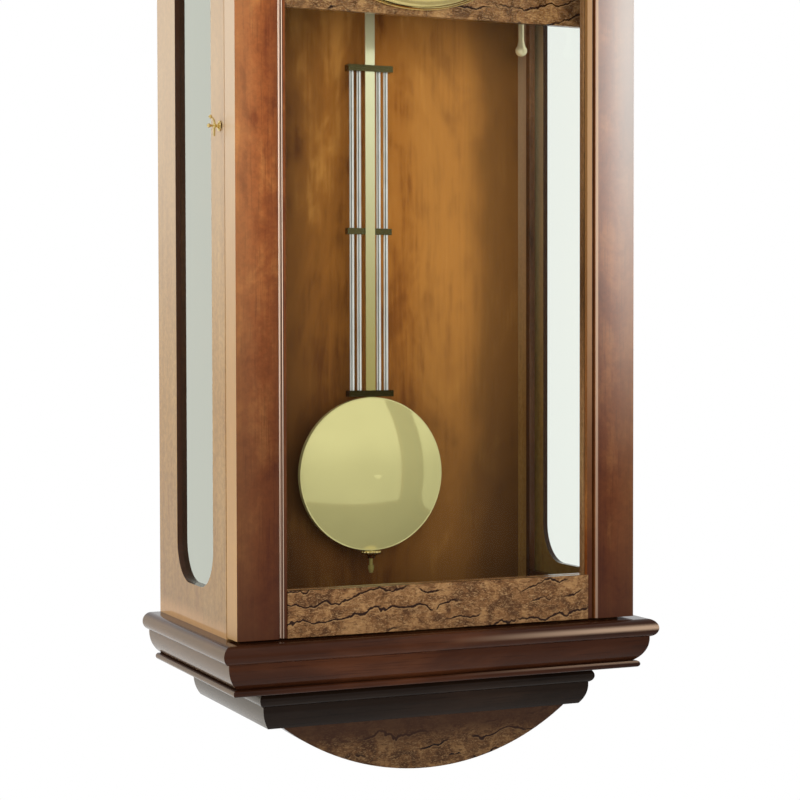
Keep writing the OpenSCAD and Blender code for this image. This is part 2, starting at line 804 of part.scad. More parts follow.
// Dial
module each_winding() {
    for (p = [time_p, strike_p, chime_p]) translate(p) children();
}
module dial_board() {
    color("rosybrown") hung() outward(dial_board_d, dial_d) difference() {
        translate([-clear_x, dial_z - dial_r - board_low])
            square([2 * clear_x, 2 * dial_r + board_low + board_high]);
        translate([0, dial_z]) {
            circle(dial_hole_r + board_hole_play);
            each_winding() circle(winding_hole_r + board_hole_play);
        }
    }
}
module dial_plate() {
    color("khaki") hung() at_arbor(centre_p) outward(dial_d, dial_f) difference() {
        circle(dial_r);
        circle(dial_hole_r);
        each_winding() circle(winding_hole_r);
    }
}
module chapter_ring() {
    color("ivory") hung() at_arbor(centre_p) outward(dial_f, dial_f + chapter_t)
        ring(chapter_r, chapter_r - chapter_w);
}
module bezel() {
    foot = dial_t + hair;
    color("gold") hung() translate([0, -dial_d, dial_z]) rotate([90, 0, 0]) rotate_extrude() {
        translate([dial_r + play, 0]) square([bezel_w - bezel_lap, bezel_foot_h]);
        translate([dial_r - bezel_lap, foot]) square([bezel_w + play, bezel_flange_t]);
        translate([dial_r - bezel_lap + bezel_w / 2, foot + bezel_round_up]) intersection() {
            circle(bezel_w / 2);
            translate([-bezel_w, 0]) square([2 * bezel_w, bezel_w]);
        }
    }
}
// Leaf hand that points up, with a slim neck and a short tail
module hand_outline(len, wide) {
    tail = 0.2 * len;
    neck = 0.4 * len;
    belly = 0.55 * len;
    shoulder = 0.8 * len;
    right = [[0.45 * wide, -tail], [0.25 * wide, 0], [0.25 * wide, neck], [0.5 * wide, belly],
        [0.3 * wide, shoulder]];
    left = [for (i = [len(right) - 1:-1:0]) [-right[i][0], right[i][1]]];
    polygon(concat(right, [[0, len]], left));
    circle(0.65 * wide);
}
module minute_hand() {
    color("black") hung() at_arbor(centre_p) outward(minute_hand_d, minute_hand_d + hand_t) difference() {
        rotate(minute_angle) hand_outline(minute_len, minute_wide);
        circle(minute_pipe_r);
    }
}
module hour_hand() {
    color("black") hung() at_arbor(centre_p) outward(hour_hand_d, hour_hand_d + hand_t) difference() {
        rotate(hour_angle) hand_outline(hour_len, hour_wide);
        circle(hour_pipe_r);
    }
}

// Movement
module each_pillar() {
    for (x = [-pillar_x, pillar_x], z = pillar_zs) translate([x, 0, dial_z + z]) children();
}
module plate_blank(d0, d1) {
    outward(d0, d1) rounded_rect(-plate_w / 2, plate_w / 2, dial_z - plate_down, dial_z + plate_up,
        plate_corner);
}
module plate_bores(d0, d1, centre_hole, winding_hole) {
    at_arbor(centre_p) pin_out(centre_hole, d0 - over, d1 + over);
    for (p = [time_p, strike_p, chime_p]) at_arbor(p) pin_out(winding_hole, d0 - over, d1 + over);
    for (p = [third_p, escape_p]) at_arbor(p) pin_out(pivot_r + running, d0 - over, d1 + over);
}
// The front plate carries the post that the minute wheel turns on
module front_plate() {
    color("khaki") hung() {
        difference() {
            plate_blank(front_plate_d, front_plate_f);
            plate_bores(front_plate_d, front_plate_f, arbor_r + running, winding_r + running);
            at_arbor(anchor_p) pin_out(pivot_r + running, front_plate_d - over, front_plate_f + over);
            each_pillar() pin_out(pillar_r / 2 + snug, front_plate_d - over, front_plate_f + over);
        }
        at_arbor(minute_p) pin_out(post_r, front_plate_f - over, dial_board_d - play);
    }
}
// The rear plate carries the riveted pillars, and their screws hold the front plate
module rear_plate() {
    color("khaki") hung() {
        difference() {
            plate_blank(rear_plate_d, rear_plate_f);
            plate_bores(rear_plate_d, rear_plate_f, pivot_r + running, winding_pivot_r + running);
            at_arbor(anchor_p) pin_out(arbor_r + running, rear_plate_d - over, rear_plate_f + over);
        }
        each_pillar() {
            pin_out(pillar_r, rear_plate_f - over, front_plate_d);
            pin_out(pillar_r / 2, front_plate_d - over, front_plate_f + pillar_nut_t);
            pin_out(pillar_nut_r, front_plate_f, front_plate_f + pillar_nut_t);
        }
    }
}
// Arbor between the plates, with a pivot in each
module arbor() {
    pin_out(arbor_r, rear_plate_f + play, front_plate_d - play);
    pin_out(pivot_r, rear_plate_d, front_plate_f);
}
// The centre wheel's arbor runs through the front plate and ends behind the minute hand
module centre_wheel() {
    color("gold") hung() at_arbor(centre_p) {
        outward(centre_d, centre_d + wheel_t) crossed_wheel(centre_teeth * train_module / 2, 3, 4, 2)
            gear(centre_teeth, train_module, bearing(centre_p, third_p));
        outward(great_d - 1.5, great_d + great_t + 1)
            gear(centre_leaves, great_module, bearing(centre_p, time_p));
        outward(cannon_d, cannon_d + pinion_t)
            gear(cannon_teeth, cannon_module, bearing(centre_p, minute_p));
        pin_out(pivot_r, rear_plate_d, rear_plate_f + play + over);
        pin_out(arbor_r, rear_plate_f + play, cannon_d + over);
        pin_out(minute_pipe_r, cannon_d + pinion_t - over, minute_hand_d + hand_t);
        pin_out(collet_r, minute_hand_d + hand_t, minute_hand_d + hand_t + collet_t);
    }
}
module minute_wheel() {
    pinion_d = minute_wheel_d + thin_wheel_t;
    color("gold") hung() at_arbor(minute_p) difference() {
        union() {
            outward(minute_wheel_d, pinion_d)
                gear(minute_teeth, cannon_module, bearing(minute_p, centre_p) + 180 / minute_teeth);
            outward(pinion_d, pinion_d + pinion_t)
                gear(minute_leaves, minute_module, bearing(minute_p, centre_p));
        }
        pin_out(post_r + running, minute_wheel_d - over, pinion_d + pinion_t + over);
    }
}
module hour_wheel() {
    color("gold") hung() at_arbor(centre_p) difference() {
        union() {
            outward(hour_wheel_d, hour_wheel_d + thin_wheel_t)
                gear(hour_teeth, minute_module, bearing(centre_p, minute_p) + 180 / hour_teeth);
            pin_out(hour_pipe_r, hour_wheel_d, hour_hand_d + hand_t);
        }
        pin_out(minute_pipe_r + running, hour_wheel_d - over, hour_hand_d + hand_t + over);
    }
}
module third_wheel() {
    color("gold") hung() at_arbor(third_p) {
        arbor();
        outward(centre_d - 2, centre_d + wheel_t + 1.5)
            gear(train_leaves, train_module, bearing(third_p, centre_p) + 180 / train_leaves);
        outward(third_d, third_d + wheel_t) crossed_wheel(third_teeth * train_module / 2, 2.5, hub_r, 1.8)
            gear(third_teeth, train_module, bearing(third_p, escape_p));
    }
}
module escape_wheel() {
    pitch = 360 / escape_teeth;
    depth = 2.4;
    color("gold") hung() at_arbor(escape_p) {
        arbor();
        outward(third_d - 1.5, third_d + wheel_t + 1.5)
            gear(train_leaves, train_module, bearing(escape_p, third_p) + 180 / train_leaves);
        outward(escape_d, escape_d + thin_wheel_t) crossed_wheel(escape_r, 4.2, hub_r, 1.6)
            polygon([for (i = [0:escape_teeth - 1],
                    q = [[-0.3, depth], [-0.04, 0], [0.04, 0], [0.12, depth]])
                let (a = 90 + pallet_half + (i + 0.5 + q[0]) * pitch)
                (escape_r - q[1]) * [cos(a), sin(a)]]);
    }
}
// Anchor with two pallets, its arbor, and the crutch that drives the pendulum leader
module anchor() {
    pallet_reach = escape_r * tan(pallet_half);
    fork_out = fork_x + fork_t;
    color("silver") hung() at_arbor(anchor_p) {
        pin_out(arbor_r, crutch_d - over, front_plate_d - play);
        pin_out(pivot_r, front_plate_d - play - over, front_plate_f);
        pin_out(hub_r, escape_d - 0.6, escape_d + thin_wheel_t + 0.6);
        outward(escape_d - 0.4, escape_d + thin_wheel_t + 0.4) both_sides() rotate(-pallet_half) {
            translate([0, pallet_h - 0.4]) square([pallet_reach + over, pallet_h]);
            translate([pallet_reach, play]) polygon([[-pallet_w / 2, 0], [pallet_w / 2, 0],
                [pallet_w, pallet_h], [-pallet_w, pallet_h]]);
        }
        block(-crutch_w / 2, crutch_w / 2, crutch_d - crutch_t, crutch_d, -fork_down, arbor_r + play);
        both_sides() block(fork_x, fork_out, pendulum_d - fork_past, crutch_d,
            -fork_down - fork_h / 2, -fork_down + fork_h / 2);
        block(-fork_out, fork_out, crutch_d - crutch_t, crutch_d,
            -fork_down - fork_h / 2, -fork_down + fork_h / 2 + over);
    }
}
// Spring barrel with its great wheel, running on the winding arbor
module barrel(p, mesh_angle) {
    end = great_d + great_t + barrel_len + barrel_cap_t;
    color("gold") hung() at_arbor(p) difference() {
        union() {
            outward(great_d, great_d + great_t) gear(great_teeth, great_module, mesh_angle);
            pin_out(barrel_r, great_d + great_t, great_d + great_t + barrel_len);
            pin_out(barrel_r - barrel_cap_in, great_d + great_t, end);
        }
        pin_out(winding_r + running, great_d - over, end + over);
    }
}
module time_barrel() { barrel(time_p, bearing(time_p, centre_p) + 180 / great_teeth); }
module strike_barrel() { barrel(strike_p, 0); }
module chime_barrel() { barrel(chime_p, 0); }
// Winding arbor with a square for the key, just proud of the dial
module winding_arbor(p) {
    square_d = front_plate_f + pillar_nut_t;
    color("silver") hung() at_arbor(p) {
        pin_out(winding_pivot_r, rear_plate_d, rear_plate_f + play + over);
        pin_out(winding_r, rear_plate_f + play, square_d);
        outward(square_d - over, dial_f + winding_proud) square(winding_square, center = true);
    }
}
module time_arbor() { winding_arbor(time_p); }
module strike_arbor() { winding_arbor(strike_p); }
module chime_arbor() { winding_arbor(chime_p); }
// Shelf that carries the movement, with a slot for the pendulum and a bore for the silence rod
module movement_shelf() {
    color("sienna") hung() difference() {
        block(-clear_x, clear_x, back_t, dial_board_d, shelf_z, shelf_z + shelf_t);
        block(-shelf_slot_w / 2, shelf_slot_w / 2, pendulum_d - shelf_slot_rear,
            pendulum_d + shelf_slot_front, shelf_z - over, shelf_z + shelf_t + over);
        translate([silence_x, -silence_d, shelf_z - over])
            cylinder(r = silence_r + running, h = shelf_t + 2 * over);
    }
}

// Pendulum
// Block centred on the pendulum's plane
module in_line(w, t, z0, z1) { block(-w / 2, w / 2, pendulum_d - t / 2, pendulum_d + t / 2, z0, z1); }
module suspension_bracket() {
    slot_t = chop_t + 2 * play;
    color("khaki") hung() translate([0, 0, pivot_z]) difference() {
        block(-bracket_w / 2, bracket_w / 2, pendulum_d - bracket_rear, rear_plate_d,
            chop_z - 2, chop_z + bracket_h - 2);
        in_line(chop_w + 2, slot_t, chop_z - 0.4, chop_z + chop_h + 1.5);
        in_line(spring_w + 4 * play, slot_t, 0, chop_z);
    }
}
module pendulum_leader() {
    color("silver") hung() translate([0, 0, pivot_z]) {
        in_line(chop_w, chop_t, chop_z, chop_z + chop_h);
        in_line(spring_w, spring_t, -chop_z, chop_z + over);
        in_line(block_w, block_t, over - chop_z - block_low, over - chop_z);
        translate([0, -pendulum_d, hook_h / 2 - leader_len])
            cylinder(r = leader_r, h = leader_len - hook_h / 2 - chop_z - block_low + 2 * over);
        block(-block_w / 2, block_w / 2, pendulum_d - block_t / 2, strip_d,
            -leader_len, hook_h - leader_len);
    }
}
// Flat strip from the leader to the bob, with the threaded end for the rating nut
module pendulum_strip() {
    color("gold") hung() {
        block(-strip_w / 2, strip_w / 2, strip_d, strip_d + strip_t, bob_low + 2, leader_end + hook_h);
        translate([0, -bob_d, bob_low - stem_low]) {
            cylinder(r = stem_r, h = stem_low + stem_high);
            translate([0, 0, -over]) cylinder(r = stem_r + stem_tip_out, h = stem_tip_h);
            translate([0, 0, -over - stem_tip_h])
                cylinder(r1 = stem_r, r2 = stem_r + stem_tip_out, h = stem_tip_h);
        }
    }
}
// Slot for the strip, a hair wider than the strip on each side
module strip_slot(z0, z1) {
    block(-strip_w / 2 - hair, strip_w / 2 + hair, strip_d - hair, strip_d + strip_t + hair, z0, z1);
}
module pendulum_bars() {
    color("darkolivegreen") hung() difference() {
        union() {
            for (z = [grid_bottom, grid_top - bar_h])
                block(-grid_w / 2, grid_w / 2, bar_rear_d, strip_d + strip_t + bar_past, z, z + bar_h);
            block(-grid_w / 2, grid_w / 2, bar_rear_d, strip_d, grid_middle - bar_h / 2,
                grid_middle + bar_h / 2);
        }
        strip_slot(grid_bottom - over, grid_bottom + bar_h + over);
        strip_slot(grid_top - bar_h - over, grid_top + over);
        each_grid_rod() cylinder(r = grid_rod_r + snug, h = grid_h - bar_h);
    }
}
module each_grid_rod() {
    for (x = [-grid_outer, -grid_inner, grid_inner, grid_outer])
        translate([x, -pendulum_d, grid_bottom + bar_h / 2]) children();
}
module pendulum_rods() {
    color("lightgray") hung() each_grid_rod() cylinder(r = grid_rod_r, h = grid_h - bar_h);
}
// Lens-shaped bob: a rim and two shallow caps, with a slot for the strip
module cap_outline(r, bulge) {
    curve = (r * r + bulge * bulge) / (2 * bulge);
    intersection() {
        translate([0, bulge - curve]) circle(curve, $fn = 720);
        square([r, bulge]);
    }
}
module pendulum_bob() {
    color("gold") hung() translate([0, 0, bob_z]) difference() {
        translate([0, -bob_d, 0]) rotate([90, 0, 0]) rotate_extrude() {
            translate([0, -bob_rim / 2]) square([bob_r, bob_rim]);
            translate([0, bob_rim / 2]) cap_outline(bob_r - rim_step, bob_front);
            translate([0, -bob_rim / 2]) mirror([0, 1]) cap_outline(bob_r - rim_step, bob_rear);
        }
        strip_slot(-bob_r - over, bob_r + over);
        translate([0, -bob_d, -bob_r - over]) cylinder(r = stem_r + hair, h = stem_high + 4);
    }
}
module rating_nut() {
    color("gold") hung() translate([0, -bob_d, bob_low - play]) difference() {
        union() {
            translate([0, 0, -nut_t]) cylinder(r = nut_r, h = nut_t);
            translate([0, 0, -2 * nut_t]) cylinder(r1 = nut_neck_r, r2 = nut_neck_r + 2, h = nut_t);
        }
        translate([0, 0, -2 * nut_t - over]) cylinder(r = stem_r + running, h = 2 * (nut_t + over));
    }
}

// Chimes
module chime_block() {
    color("dimgray") hung() difference() {
        block(chime_xs[0] - block_side, chime_xs[3] + block_side, back_t, chime_d + block_front,
            block_z, block_z + block_h);
        for (x = chime_xs) translate([x, -chime_d, block_z - over])
            cylinder(r = chime_rod_r + snug, h = chime_seat + over);
    }
}
module chime_rods() {
    color("darkgoldenrod") hung() for (i = [0:3]) {
        len = chime_rod_len - i * chime_rod_step;
        translate([chime_xs[i], -chime_d, block_z - len]) cylinder(r = chime_rod_r, h = len + chime_seat);
    }
}
// Frame behind the rear plate for the hammer arbor and the chime drum
module hammer_frame() {
    color("khaki") hung() difference() {
        union() {
            for (x = [cheek_left, cheek_right])
                block(x, x + cheek_t, hammer_d - cheek_rear, rear_plate_d, cheek_low, cheek_high);
            block(cheek_left, cheek_right + cheek_t, rear_plate_d - cheek_t, rear_plate_d,
                cheek_low, cheek_high);
            translate([0, -hammer_d, hammer_z]) pin_x(hammer_arbor_r, cheek_left, cheek_right + cheek_t);
        }
        translate([0, -hammer_d, drum_z])
            pin_x(arbor_r + running, cheek_left - over, cheek_right + cheek_t + over);
    }
}
module chime_drum() {
    lobe_module = drum_r / (lobes / 2 + 0.8);
    color("gold") hung() translate([0, -hammer_d, drum_z]) {
        pin_x(arbor_r, cheek_left, cheek_right + cheek_t);
        pin_x(drum_core_r, cheek_left + cheek_t + play, cheek_right - play);
        for (x = chime_xs) translate([x - lobe_w / 2, 0, 0]) rotate([90, 0, 90]) linear_extrude(lobe_w)
            gear(lobes, lobe_module, 180 / lobes);
    }
}
module hammer(i) {
    back = hammer_d - hammer_head_d;
    color("goldenrod") hung() translate([chime_xs[i], -hammer_d, hammer_z]) difference() {
        union() {
            pin_x(hammer_hub_r, -hammer_hub_w / 2, hammer_hub_w / 2);
            rotate([-atan(back / hammer_len), 0, 0]) translate([-hammer_arm_w / 2, -hammer_arm_t / 2, 0])
                cube([hammer_arm_w, hammer_arm_t, norm([back, hammer_len])]);
            translate([0, hammer_d, hammer_len]) {
                pin_out(hammer_head_r, hammer_head_d - hammer_head_rear, hammer_head_d + hammer_head_front);
                pin_out(hammer_tip_r, hammer_head_d - hammer_head_rear - hammer_tip_h, hammer_head_d);
            }
            translate([-hammer_arm_w / 2, -hammer_arm_w / 2, hammer_tail_gap - drum_r])
                cube([hammer_arm_w, hammer_arm_w, drum_r - hammer_hub_r]);
        }
        pin_x(hammer_arbor_r + running, -hammer_hub_w / 2 - over, hammer_hub_w / 2 + over);
    }
}
module hammer_1() { hammer(0); }
module hammer_2() { hammer(1); }
module hammer_3() { hammer(2); }
module hammer_4() { hammer(3); }
// Pull rod that lowers a bar in front of the hammer tails, with a collar above the shelf
module silence_rod() {
    top = dial_z + silence_bar_up;
    color("gold") hung() {
        translate([silence_x, -silence_d, dial_z - silence_down]) {
            sphere(silence_ball_r);
            cylinder(r1 = 0.86 * silence_ball_r, r2 = silence_r, h = silence_neck_h);
            cylinder(r = silence_r, h = silence_down + silence_bar_up);
        }
        translate([silence_x, -silence_d, shelf_z + shelf_t + silence_travel + play])
            cylinder(r = silence_r + silence_collar_out, h = silence_collar_h);
        block(cheek_right + 2 * cheek_t, silence_x, silence_d - silence_bar_t / 2,
            silence_d + silence_bar_t / 2, top - silence_bar_t, top);
    }
}

side_panel_left();
side_panel_right();
back_panel();
side_glass();
window_beads();
base_moulding_upper();
base_moulding_lower();
apron();
crown_moulding_lower();
crown_moulding_upper();
pediment();
hanger_plate();
hinge_case_leaves();
stile_left();
stile_right();
top_rail();
bottom_rail();
door_glass();
glass_stops();
hinge_door_leaves();
latch_strike();
latch_key();
dial_board();
dial_plate();
chapter_ring();
bezel();
minute_hand();
hour_hand();
movement_shelf();
front_plate();
rear_plate();
centre_wheel();
minute_wheel();
hour_wheel();
third_wheel();
escape_wheel();
anchor();
time_barrel();
strike_barrel();
chime_barrel();
time_arbor();
strike_arbor();
chime_arbor();
suspension_bracket();
pendulum_leader();
pendulum_strip();
pendulum_bars();
pendulum_rods();
pendulum_bob();
rating_nut();
chime_block();
chime_rods();
hammer_frame();
chime_drum();
hammer_1();
hammer_2();
hammer_3();
hammer_4();
silence_rod();
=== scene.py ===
import bmesh
import bpy
import math
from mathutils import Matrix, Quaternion, Vector


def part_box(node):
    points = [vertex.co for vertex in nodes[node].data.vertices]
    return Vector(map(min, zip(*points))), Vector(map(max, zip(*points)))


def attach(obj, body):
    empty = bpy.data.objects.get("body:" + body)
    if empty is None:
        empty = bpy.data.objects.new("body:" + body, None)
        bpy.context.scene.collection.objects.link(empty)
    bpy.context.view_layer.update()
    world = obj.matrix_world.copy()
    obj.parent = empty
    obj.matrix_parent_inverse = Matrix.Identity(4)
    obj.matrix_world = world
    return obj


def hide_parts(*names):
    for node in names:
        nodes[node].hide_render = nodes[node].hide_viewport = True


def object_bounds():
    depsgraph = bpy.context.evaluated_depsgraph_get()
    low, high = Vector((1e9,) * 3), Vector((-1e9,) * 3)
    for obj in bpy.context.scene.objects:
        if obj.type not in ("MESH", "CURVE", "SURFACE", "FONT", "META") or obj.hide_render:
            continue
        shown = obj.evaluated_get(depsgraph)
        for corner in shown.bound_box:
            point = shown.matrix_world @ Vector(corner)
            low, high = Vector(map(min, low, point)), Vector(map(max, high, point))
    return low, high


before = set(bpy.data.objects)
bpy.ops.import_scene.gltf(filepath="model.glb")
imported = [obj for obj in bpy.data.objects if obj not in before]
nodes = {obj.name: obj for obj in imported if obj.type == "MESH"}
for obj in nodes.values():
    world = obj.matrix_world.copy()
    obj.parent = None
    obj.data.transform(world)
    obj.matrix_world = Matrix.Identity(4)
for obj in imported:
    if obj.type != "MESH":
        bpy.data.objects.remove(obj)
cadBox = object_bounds()
mm = 0.001
print("frame loaded:", len(nodes), "nodes")


# a screen colour, 0 to 255, as the linear colour a shader takes
def tone(red, green, blue):
    def linear(c):
        c = c / 255
        return c / 12.92 if c <= 0.04045 else ((c + 0.055) / 1.055) ** 2.4
    return (linear(red), linear(green), linear(blue), 1)


# one procedural material, with short calls for the nodes that all the finishes share
class Finish:

    def __init__(self, name, settings):
        self.material = bpy.data.materials.new(name)
        self.material.use_nodes = True
        self.tree = self.material.node_tree
        self.shader = self.tree.nodes["Principled BSDF"]
        for socket, value in settings.items():
            self.shader.inputs[socket].default_value = value
        coordinates = self.add("ShaderNodeTexCoord")
        self.place = coordinates.outputs["Object"]
        self.facing = coordinates.outputs["Normal"]

    def add(self, kind, **settings):
        node = self.tree.nodes.new(kind)
        for key, value in settings.items():
            setattr(node, key, value)
        return node

    def feed(self, socket, value):
        if isinstance(value, bpy.types.NodeSocket):
            self.tree.links.new(value, socket)
        else:
            socket.default_value = value

    def calc(self, operation, *values):
        node = self.add("ShaderNodeMath", operation=operation)
        for socket, value in zip(node.inputs, values):
            self.feed(socket, value)
        return node.outputs[0]

    def plus(self, first, second):
        return self.calc("ADD", first, second)

    def less(self, first, second):
        return self.calc("SUBTRACT", first, second)

    def times(self, first, *others):
        for other in others:
            first = self.calc("MULTIPLY", first, other)
        return first

    def size(self, value):
        return self.calc("ABSOLUTE", value)

    def moved(self, scale=(1, 1, 1), shift=(0, 0, 0), turn=(0, 0, 0), place=None):
        node = self.add("ShaderNodeMapping")
        self.feed(node.inputs["Vector"], place or self.place)
        node.inputs["Scale"].default_value = scale
        node.inputs["Location"].default_value = shift
        node.inputs["Rotation"].default_value = turn
        return node.outputs[0]

    # in the looks below, each noise is (scale in a metre, detail, roughness, twist)
    def noise(self, place, scale, detail, rough, twist=0.0):
        node = self.add("ShaderNodeTexNoise")
        self.feed(node.inputs["Vector"], place)
        node.inputs["Scale"].default_value = scale
        node.inputs["Detail"].default_value = detail
        node.inputs["Roughness"].default_value = rough
        node.inputs["Distortion"].default_value = twist
        return node.outputs["Fac"]

    # stops are (place, colour or grey) pairs
    def ramp(self, value, stops, smooth=True):
        node = self.add("ShaderNodeValToRGB")
        node.color_ramp.interpolation = "EASE" if smooth else "LINEAR"
        marks = node.color_ramp.elements
        while len(marks) < len(stops):
            marks.new(0.5)
        for mark, (where, colour) in zip(marks, stops):
            mark.position = where
            mark.color = colour if isinstance(colour, tuple) else (colour, colour, colour, 1)
        self.feed(node.inputs[0], value)
        return node.outputs[0]

    # a look's three shades, at its three stops of a value
    def shaded(self, value, look):
        return self.ramp(value, list(zip(look["stops"], (look["dark"], look["mid"], look["light"]))))

    # a share of dark pits: that grey up to the place low, and none from high on
    def pitted(self, colour, value, share, low, grey, high):
        return self.mixed(share, colour, self.ramp(value, [(low, grey), (high, 1.0)]), "MULTIPLY")

    # least at the value called start, and share at the one called end
    def spread(self, value, start, end, share=1.0, least=0.0):
        node = self.add("ShaderNodeMapRange", interpolation_type="SMOOTHSTEP")
        for socket, v in zip(node.inputs, (value, start, end, least, share)):
            self.feed(socket, v)
        return node.outputs[0]

    def mixed(self, share, first, second, mode="MIX"):
        node = self.add("ShaderNodeMix", data_type="RGBA", blend_type=mode)
        self.feed(node.inputs[0], share)
        self.feed(node.inputs[6], first)
        self.feed(node.inputs[7], second)
        return node.outputs[2]

    def axes(self, vector=None):
        node = self.add("ShaderNodeSeparateXYZ")
        self.feed(node.inputs[0], vector or self.place)
        return dict(zip("xyz", node.outputs))

    # depth is the strength of the bump, reach how high it stands in metres
    def raised(self, height, depth, reach):
        node = self.add("ShaderNodeBump")
        node.inputs["Strength"].default_value = depth
        node.inputs["Distance"].default_value = reach
        self.feed(node.inputs["Height"], height)
        return node.outputs[0]

    def set(self, **links):
        for socket, value in links.items():
            self.feed(self.shader.inputs[socket.replace("_", " ")], value)
        return self.material


# puts one finish on CAD nodes
def wear(material, *names):
    for name in names:
        mesh = nodes[name].data
        mesh.materials.clear()
        mesh.materials.append(material)


# toning and painted light and shade: each row of toningAndPaintedLightRows is (axis, start, end, share),
# and a colour where it isn't the plain darkeningColour. There is none at start and that share at end, both
# in metres. X is the distance from the middle, wobble makes the edges wander, and where keeps it to some of
# the faces.
def toningAndPaintedLight(finish, colour, look, axes, wobble, where=None):
    for axis, start, end, share, *shade in look["toningAndPaintedLightRows"]:
        value = finish.size(axes["x"]) if axis == "X" else axes[axis]
        mask = finish.spread(finish.plus(value, wobble), start, end, share)
        if where is not None:
            mask = finish.times(mask, where)
        colour = finish.mixed(mask, colour, shade[0] if shade else look["darkeningColour"])
    return colour


satin = {"Roughness": 0.5, "Specular IOR Level": 0.0, "Coat Weight": 1.0, "Coat Roughness": 0.16,
         "Coat IOR": 1.3}
gloss = dict(satin, **{"Coat Roughness": 0.07, "Coat IOR": 1.28})
dulledSatin = dict(satin, **{"Coat Roughness": 0.26})

# what all the stained woods share
caseWood = {
    "stops": (0.36, 0.5, 0.64),
    "coat": satin,
    "grain": "z",
    "cloud": (16, 5, 0.62, 0.4),        # blotches of stain
    "cloudRun": 0.35,                   # how far they stretch along the grain
    "cloudShare": 0.66,
    "figure": (144, 4, 0.6, 0.25),      # the broader grain
    "figureShare": 0.34,
    "fleck": (900, 2, 0.5),             # fine pores
    "fleckRun": 0.035,
    "fleckPits": (0.6, 0.3, 0.6, 0.42),
    "speck": (260, 3, 0.65, 0.3),       # small mottling
    "speckPits": (0.8, 0.38, 0.78, 0.62),
    "darkeningColour": tone(50, 22, 10),
    "toningAndPaintedLightRows": [],
    "wobble": 0.02,
    "frontFaces": (0.4, 0.8),           # how squarely a face looks forwards to count as the front
    "frontOnly": False,                 # toning and painted shade on the front alone
    "bump": 0.1,
    "bumpReach": 0.0002,
}


# painted reflection: pale grey-white along the top and the outer edge
def paintedStileReflection(finish, colour, paintedReflectionArea, axes, wobble, front):
    upward = finish.spread(finish.plus(axes["z"], wobble), *paintedReflectionArea["upward"])
    outward = finish.spread(axes["x"], *paintedReflectionArea["outward"])
    return finish.mixed(finish.times(upward, outward, front), colour, paintedReflectionArea["colour"])


# the groove beside the bead: painted shade as dark lines in it, and painted highlights as pale lines along
# its edges, brighter higher up
def paintedGrooveShadeAndHighlight(finish, colour, quirk, axes):
    across = finish.times(finish.less(finish.size(axes["x"]), quirk["from"]), 1 / quirk["width"])
    colour = finish.mixed(finish.ramp(across, quirk["paintedShadeLines"]), colour, quirk["dark"])
    pale = finish.times(finish.ramp(across, quirk["paintedHighlightLines"]), finish.spread(axes["z"], *quirk["upward"]))
    return finish.mixed(pale, colour, quirk["pale"])


# the bead itself, which catches the light higher up
def beaded(finish, colour, bead, axes):
    inward = finish.spread(finish.size(axes["x"]), *bead["inward"])
    upward = finish.spread(axes["z"], *bead["upward"])
    return finish.mixed(finish.times(inward, upward), colour, bead["colour"])


# the door's edges and back painted paler than its front, more so higher up: painted reflection
def paintedFlankReflection(finish, colour, paintedFlankSheen, axes, normal):
    turn = finish.calc("MAXIMUM", finish.size(normal["x"]), normal["y"])
    outer = finish.calc("GREATER_THAN", finish.size(axes["x"]), paintedFlankSheen["beyond"])
    pale = finish.mixed(finish.spread(axes["z"], *paintedFlankSheen["upward"]), paintedFlankSheen["low"], paintedFlankSheen["high"])
    return finish.mixed(finish.times(finish.spread(turn, *paintedFlankSheen["turned"]), outer), colour, pale)


# edge faces, darker than the face
def darkenedEdges(finish, colour, cut, axes, normal):
    edge = finish.spread(finish.size(normal["x"]), *cut["turned"])
    inner = finish.calc("GREATER_THAN", axes["y"], cut["behind"])
    return finish.mixed(finish.times(edge, inner), colour, cut["colour"])


# stained and lacquered wood
def stainedWood(name, wood):
    finish = Finish(name, wood["coat"])
    seed = wood["seed"]
    cloudStretch = tuple(wood["cloudRun"] if axis == wood["grain"] else 1 for axis in "xyz")
    fleckStretch = tuple(wood["fleckRun"] if axis == wood["grain"] else 1 for axis in "xyz")
    cloud = finish.noise(finish.moved(cloudStretch, (seed, seed * 2, seed * 3)), *wood["cloud"])
    figure = finish.noise(finish.moved(fleckStretch, (seed, 0, seed)), *wood["figure"])
    fleck = finish.noise(finish.moved(fleckStretch), *wood["fleck"])
    speck = finish.noise(finish.moved(shift=(seed, seed, 0)), *wood["speck"])
    blend = finish.plus(finish.times(cloud, wood["cloudShare"]), finish.times(figure, wood["figureShare"]))
    colour = finish.shaded(blend, wood)
    colour = finish.pitted(colour, fleck, *wood["fleckPits"])
    colour = finish.pitted(colour, speck, *wood["speckPits"])
    wobble = finish.times(finish.less(cloud, 0.5), wood["wobble"])
    axes, normal = finish.axes(), finish.axes(finish.facing)
    front = finish.spread(finish.size(normal["y"]), *wood["frontFaces"])
    colour = toningAndPaintedLight(finish, colour, wood, axes, wobble, front if wood["frontOnly"] else None)
    if "paintedReflectionArea" in wood:
        colour = paintedStileReflection(finish, colour, wood["paintedReflectionArea"], axes, wobble, front)
    if "quirk" in wood:
        colour = paintedGrooveShadeAndHighlight(finish, colour, wood["quirk"], axes)
    if "bead" in wood:
        colour = beaded(finish, colour, wood["bead"], axes)
    if "paintedFlankSheen" in wood:
        colour = paintedFlankReflection(finish, colour, wood["paintedFlankSheen"], axes, normal)
    if "cut" in wood:
        colour = darkenedEdges(finish, colour, wood["cut"], axes, normal)
    return finish.set(Base_Color=colour, Normal=finish.raised(fleck, wood["bump"], wood["bumpReach"]))


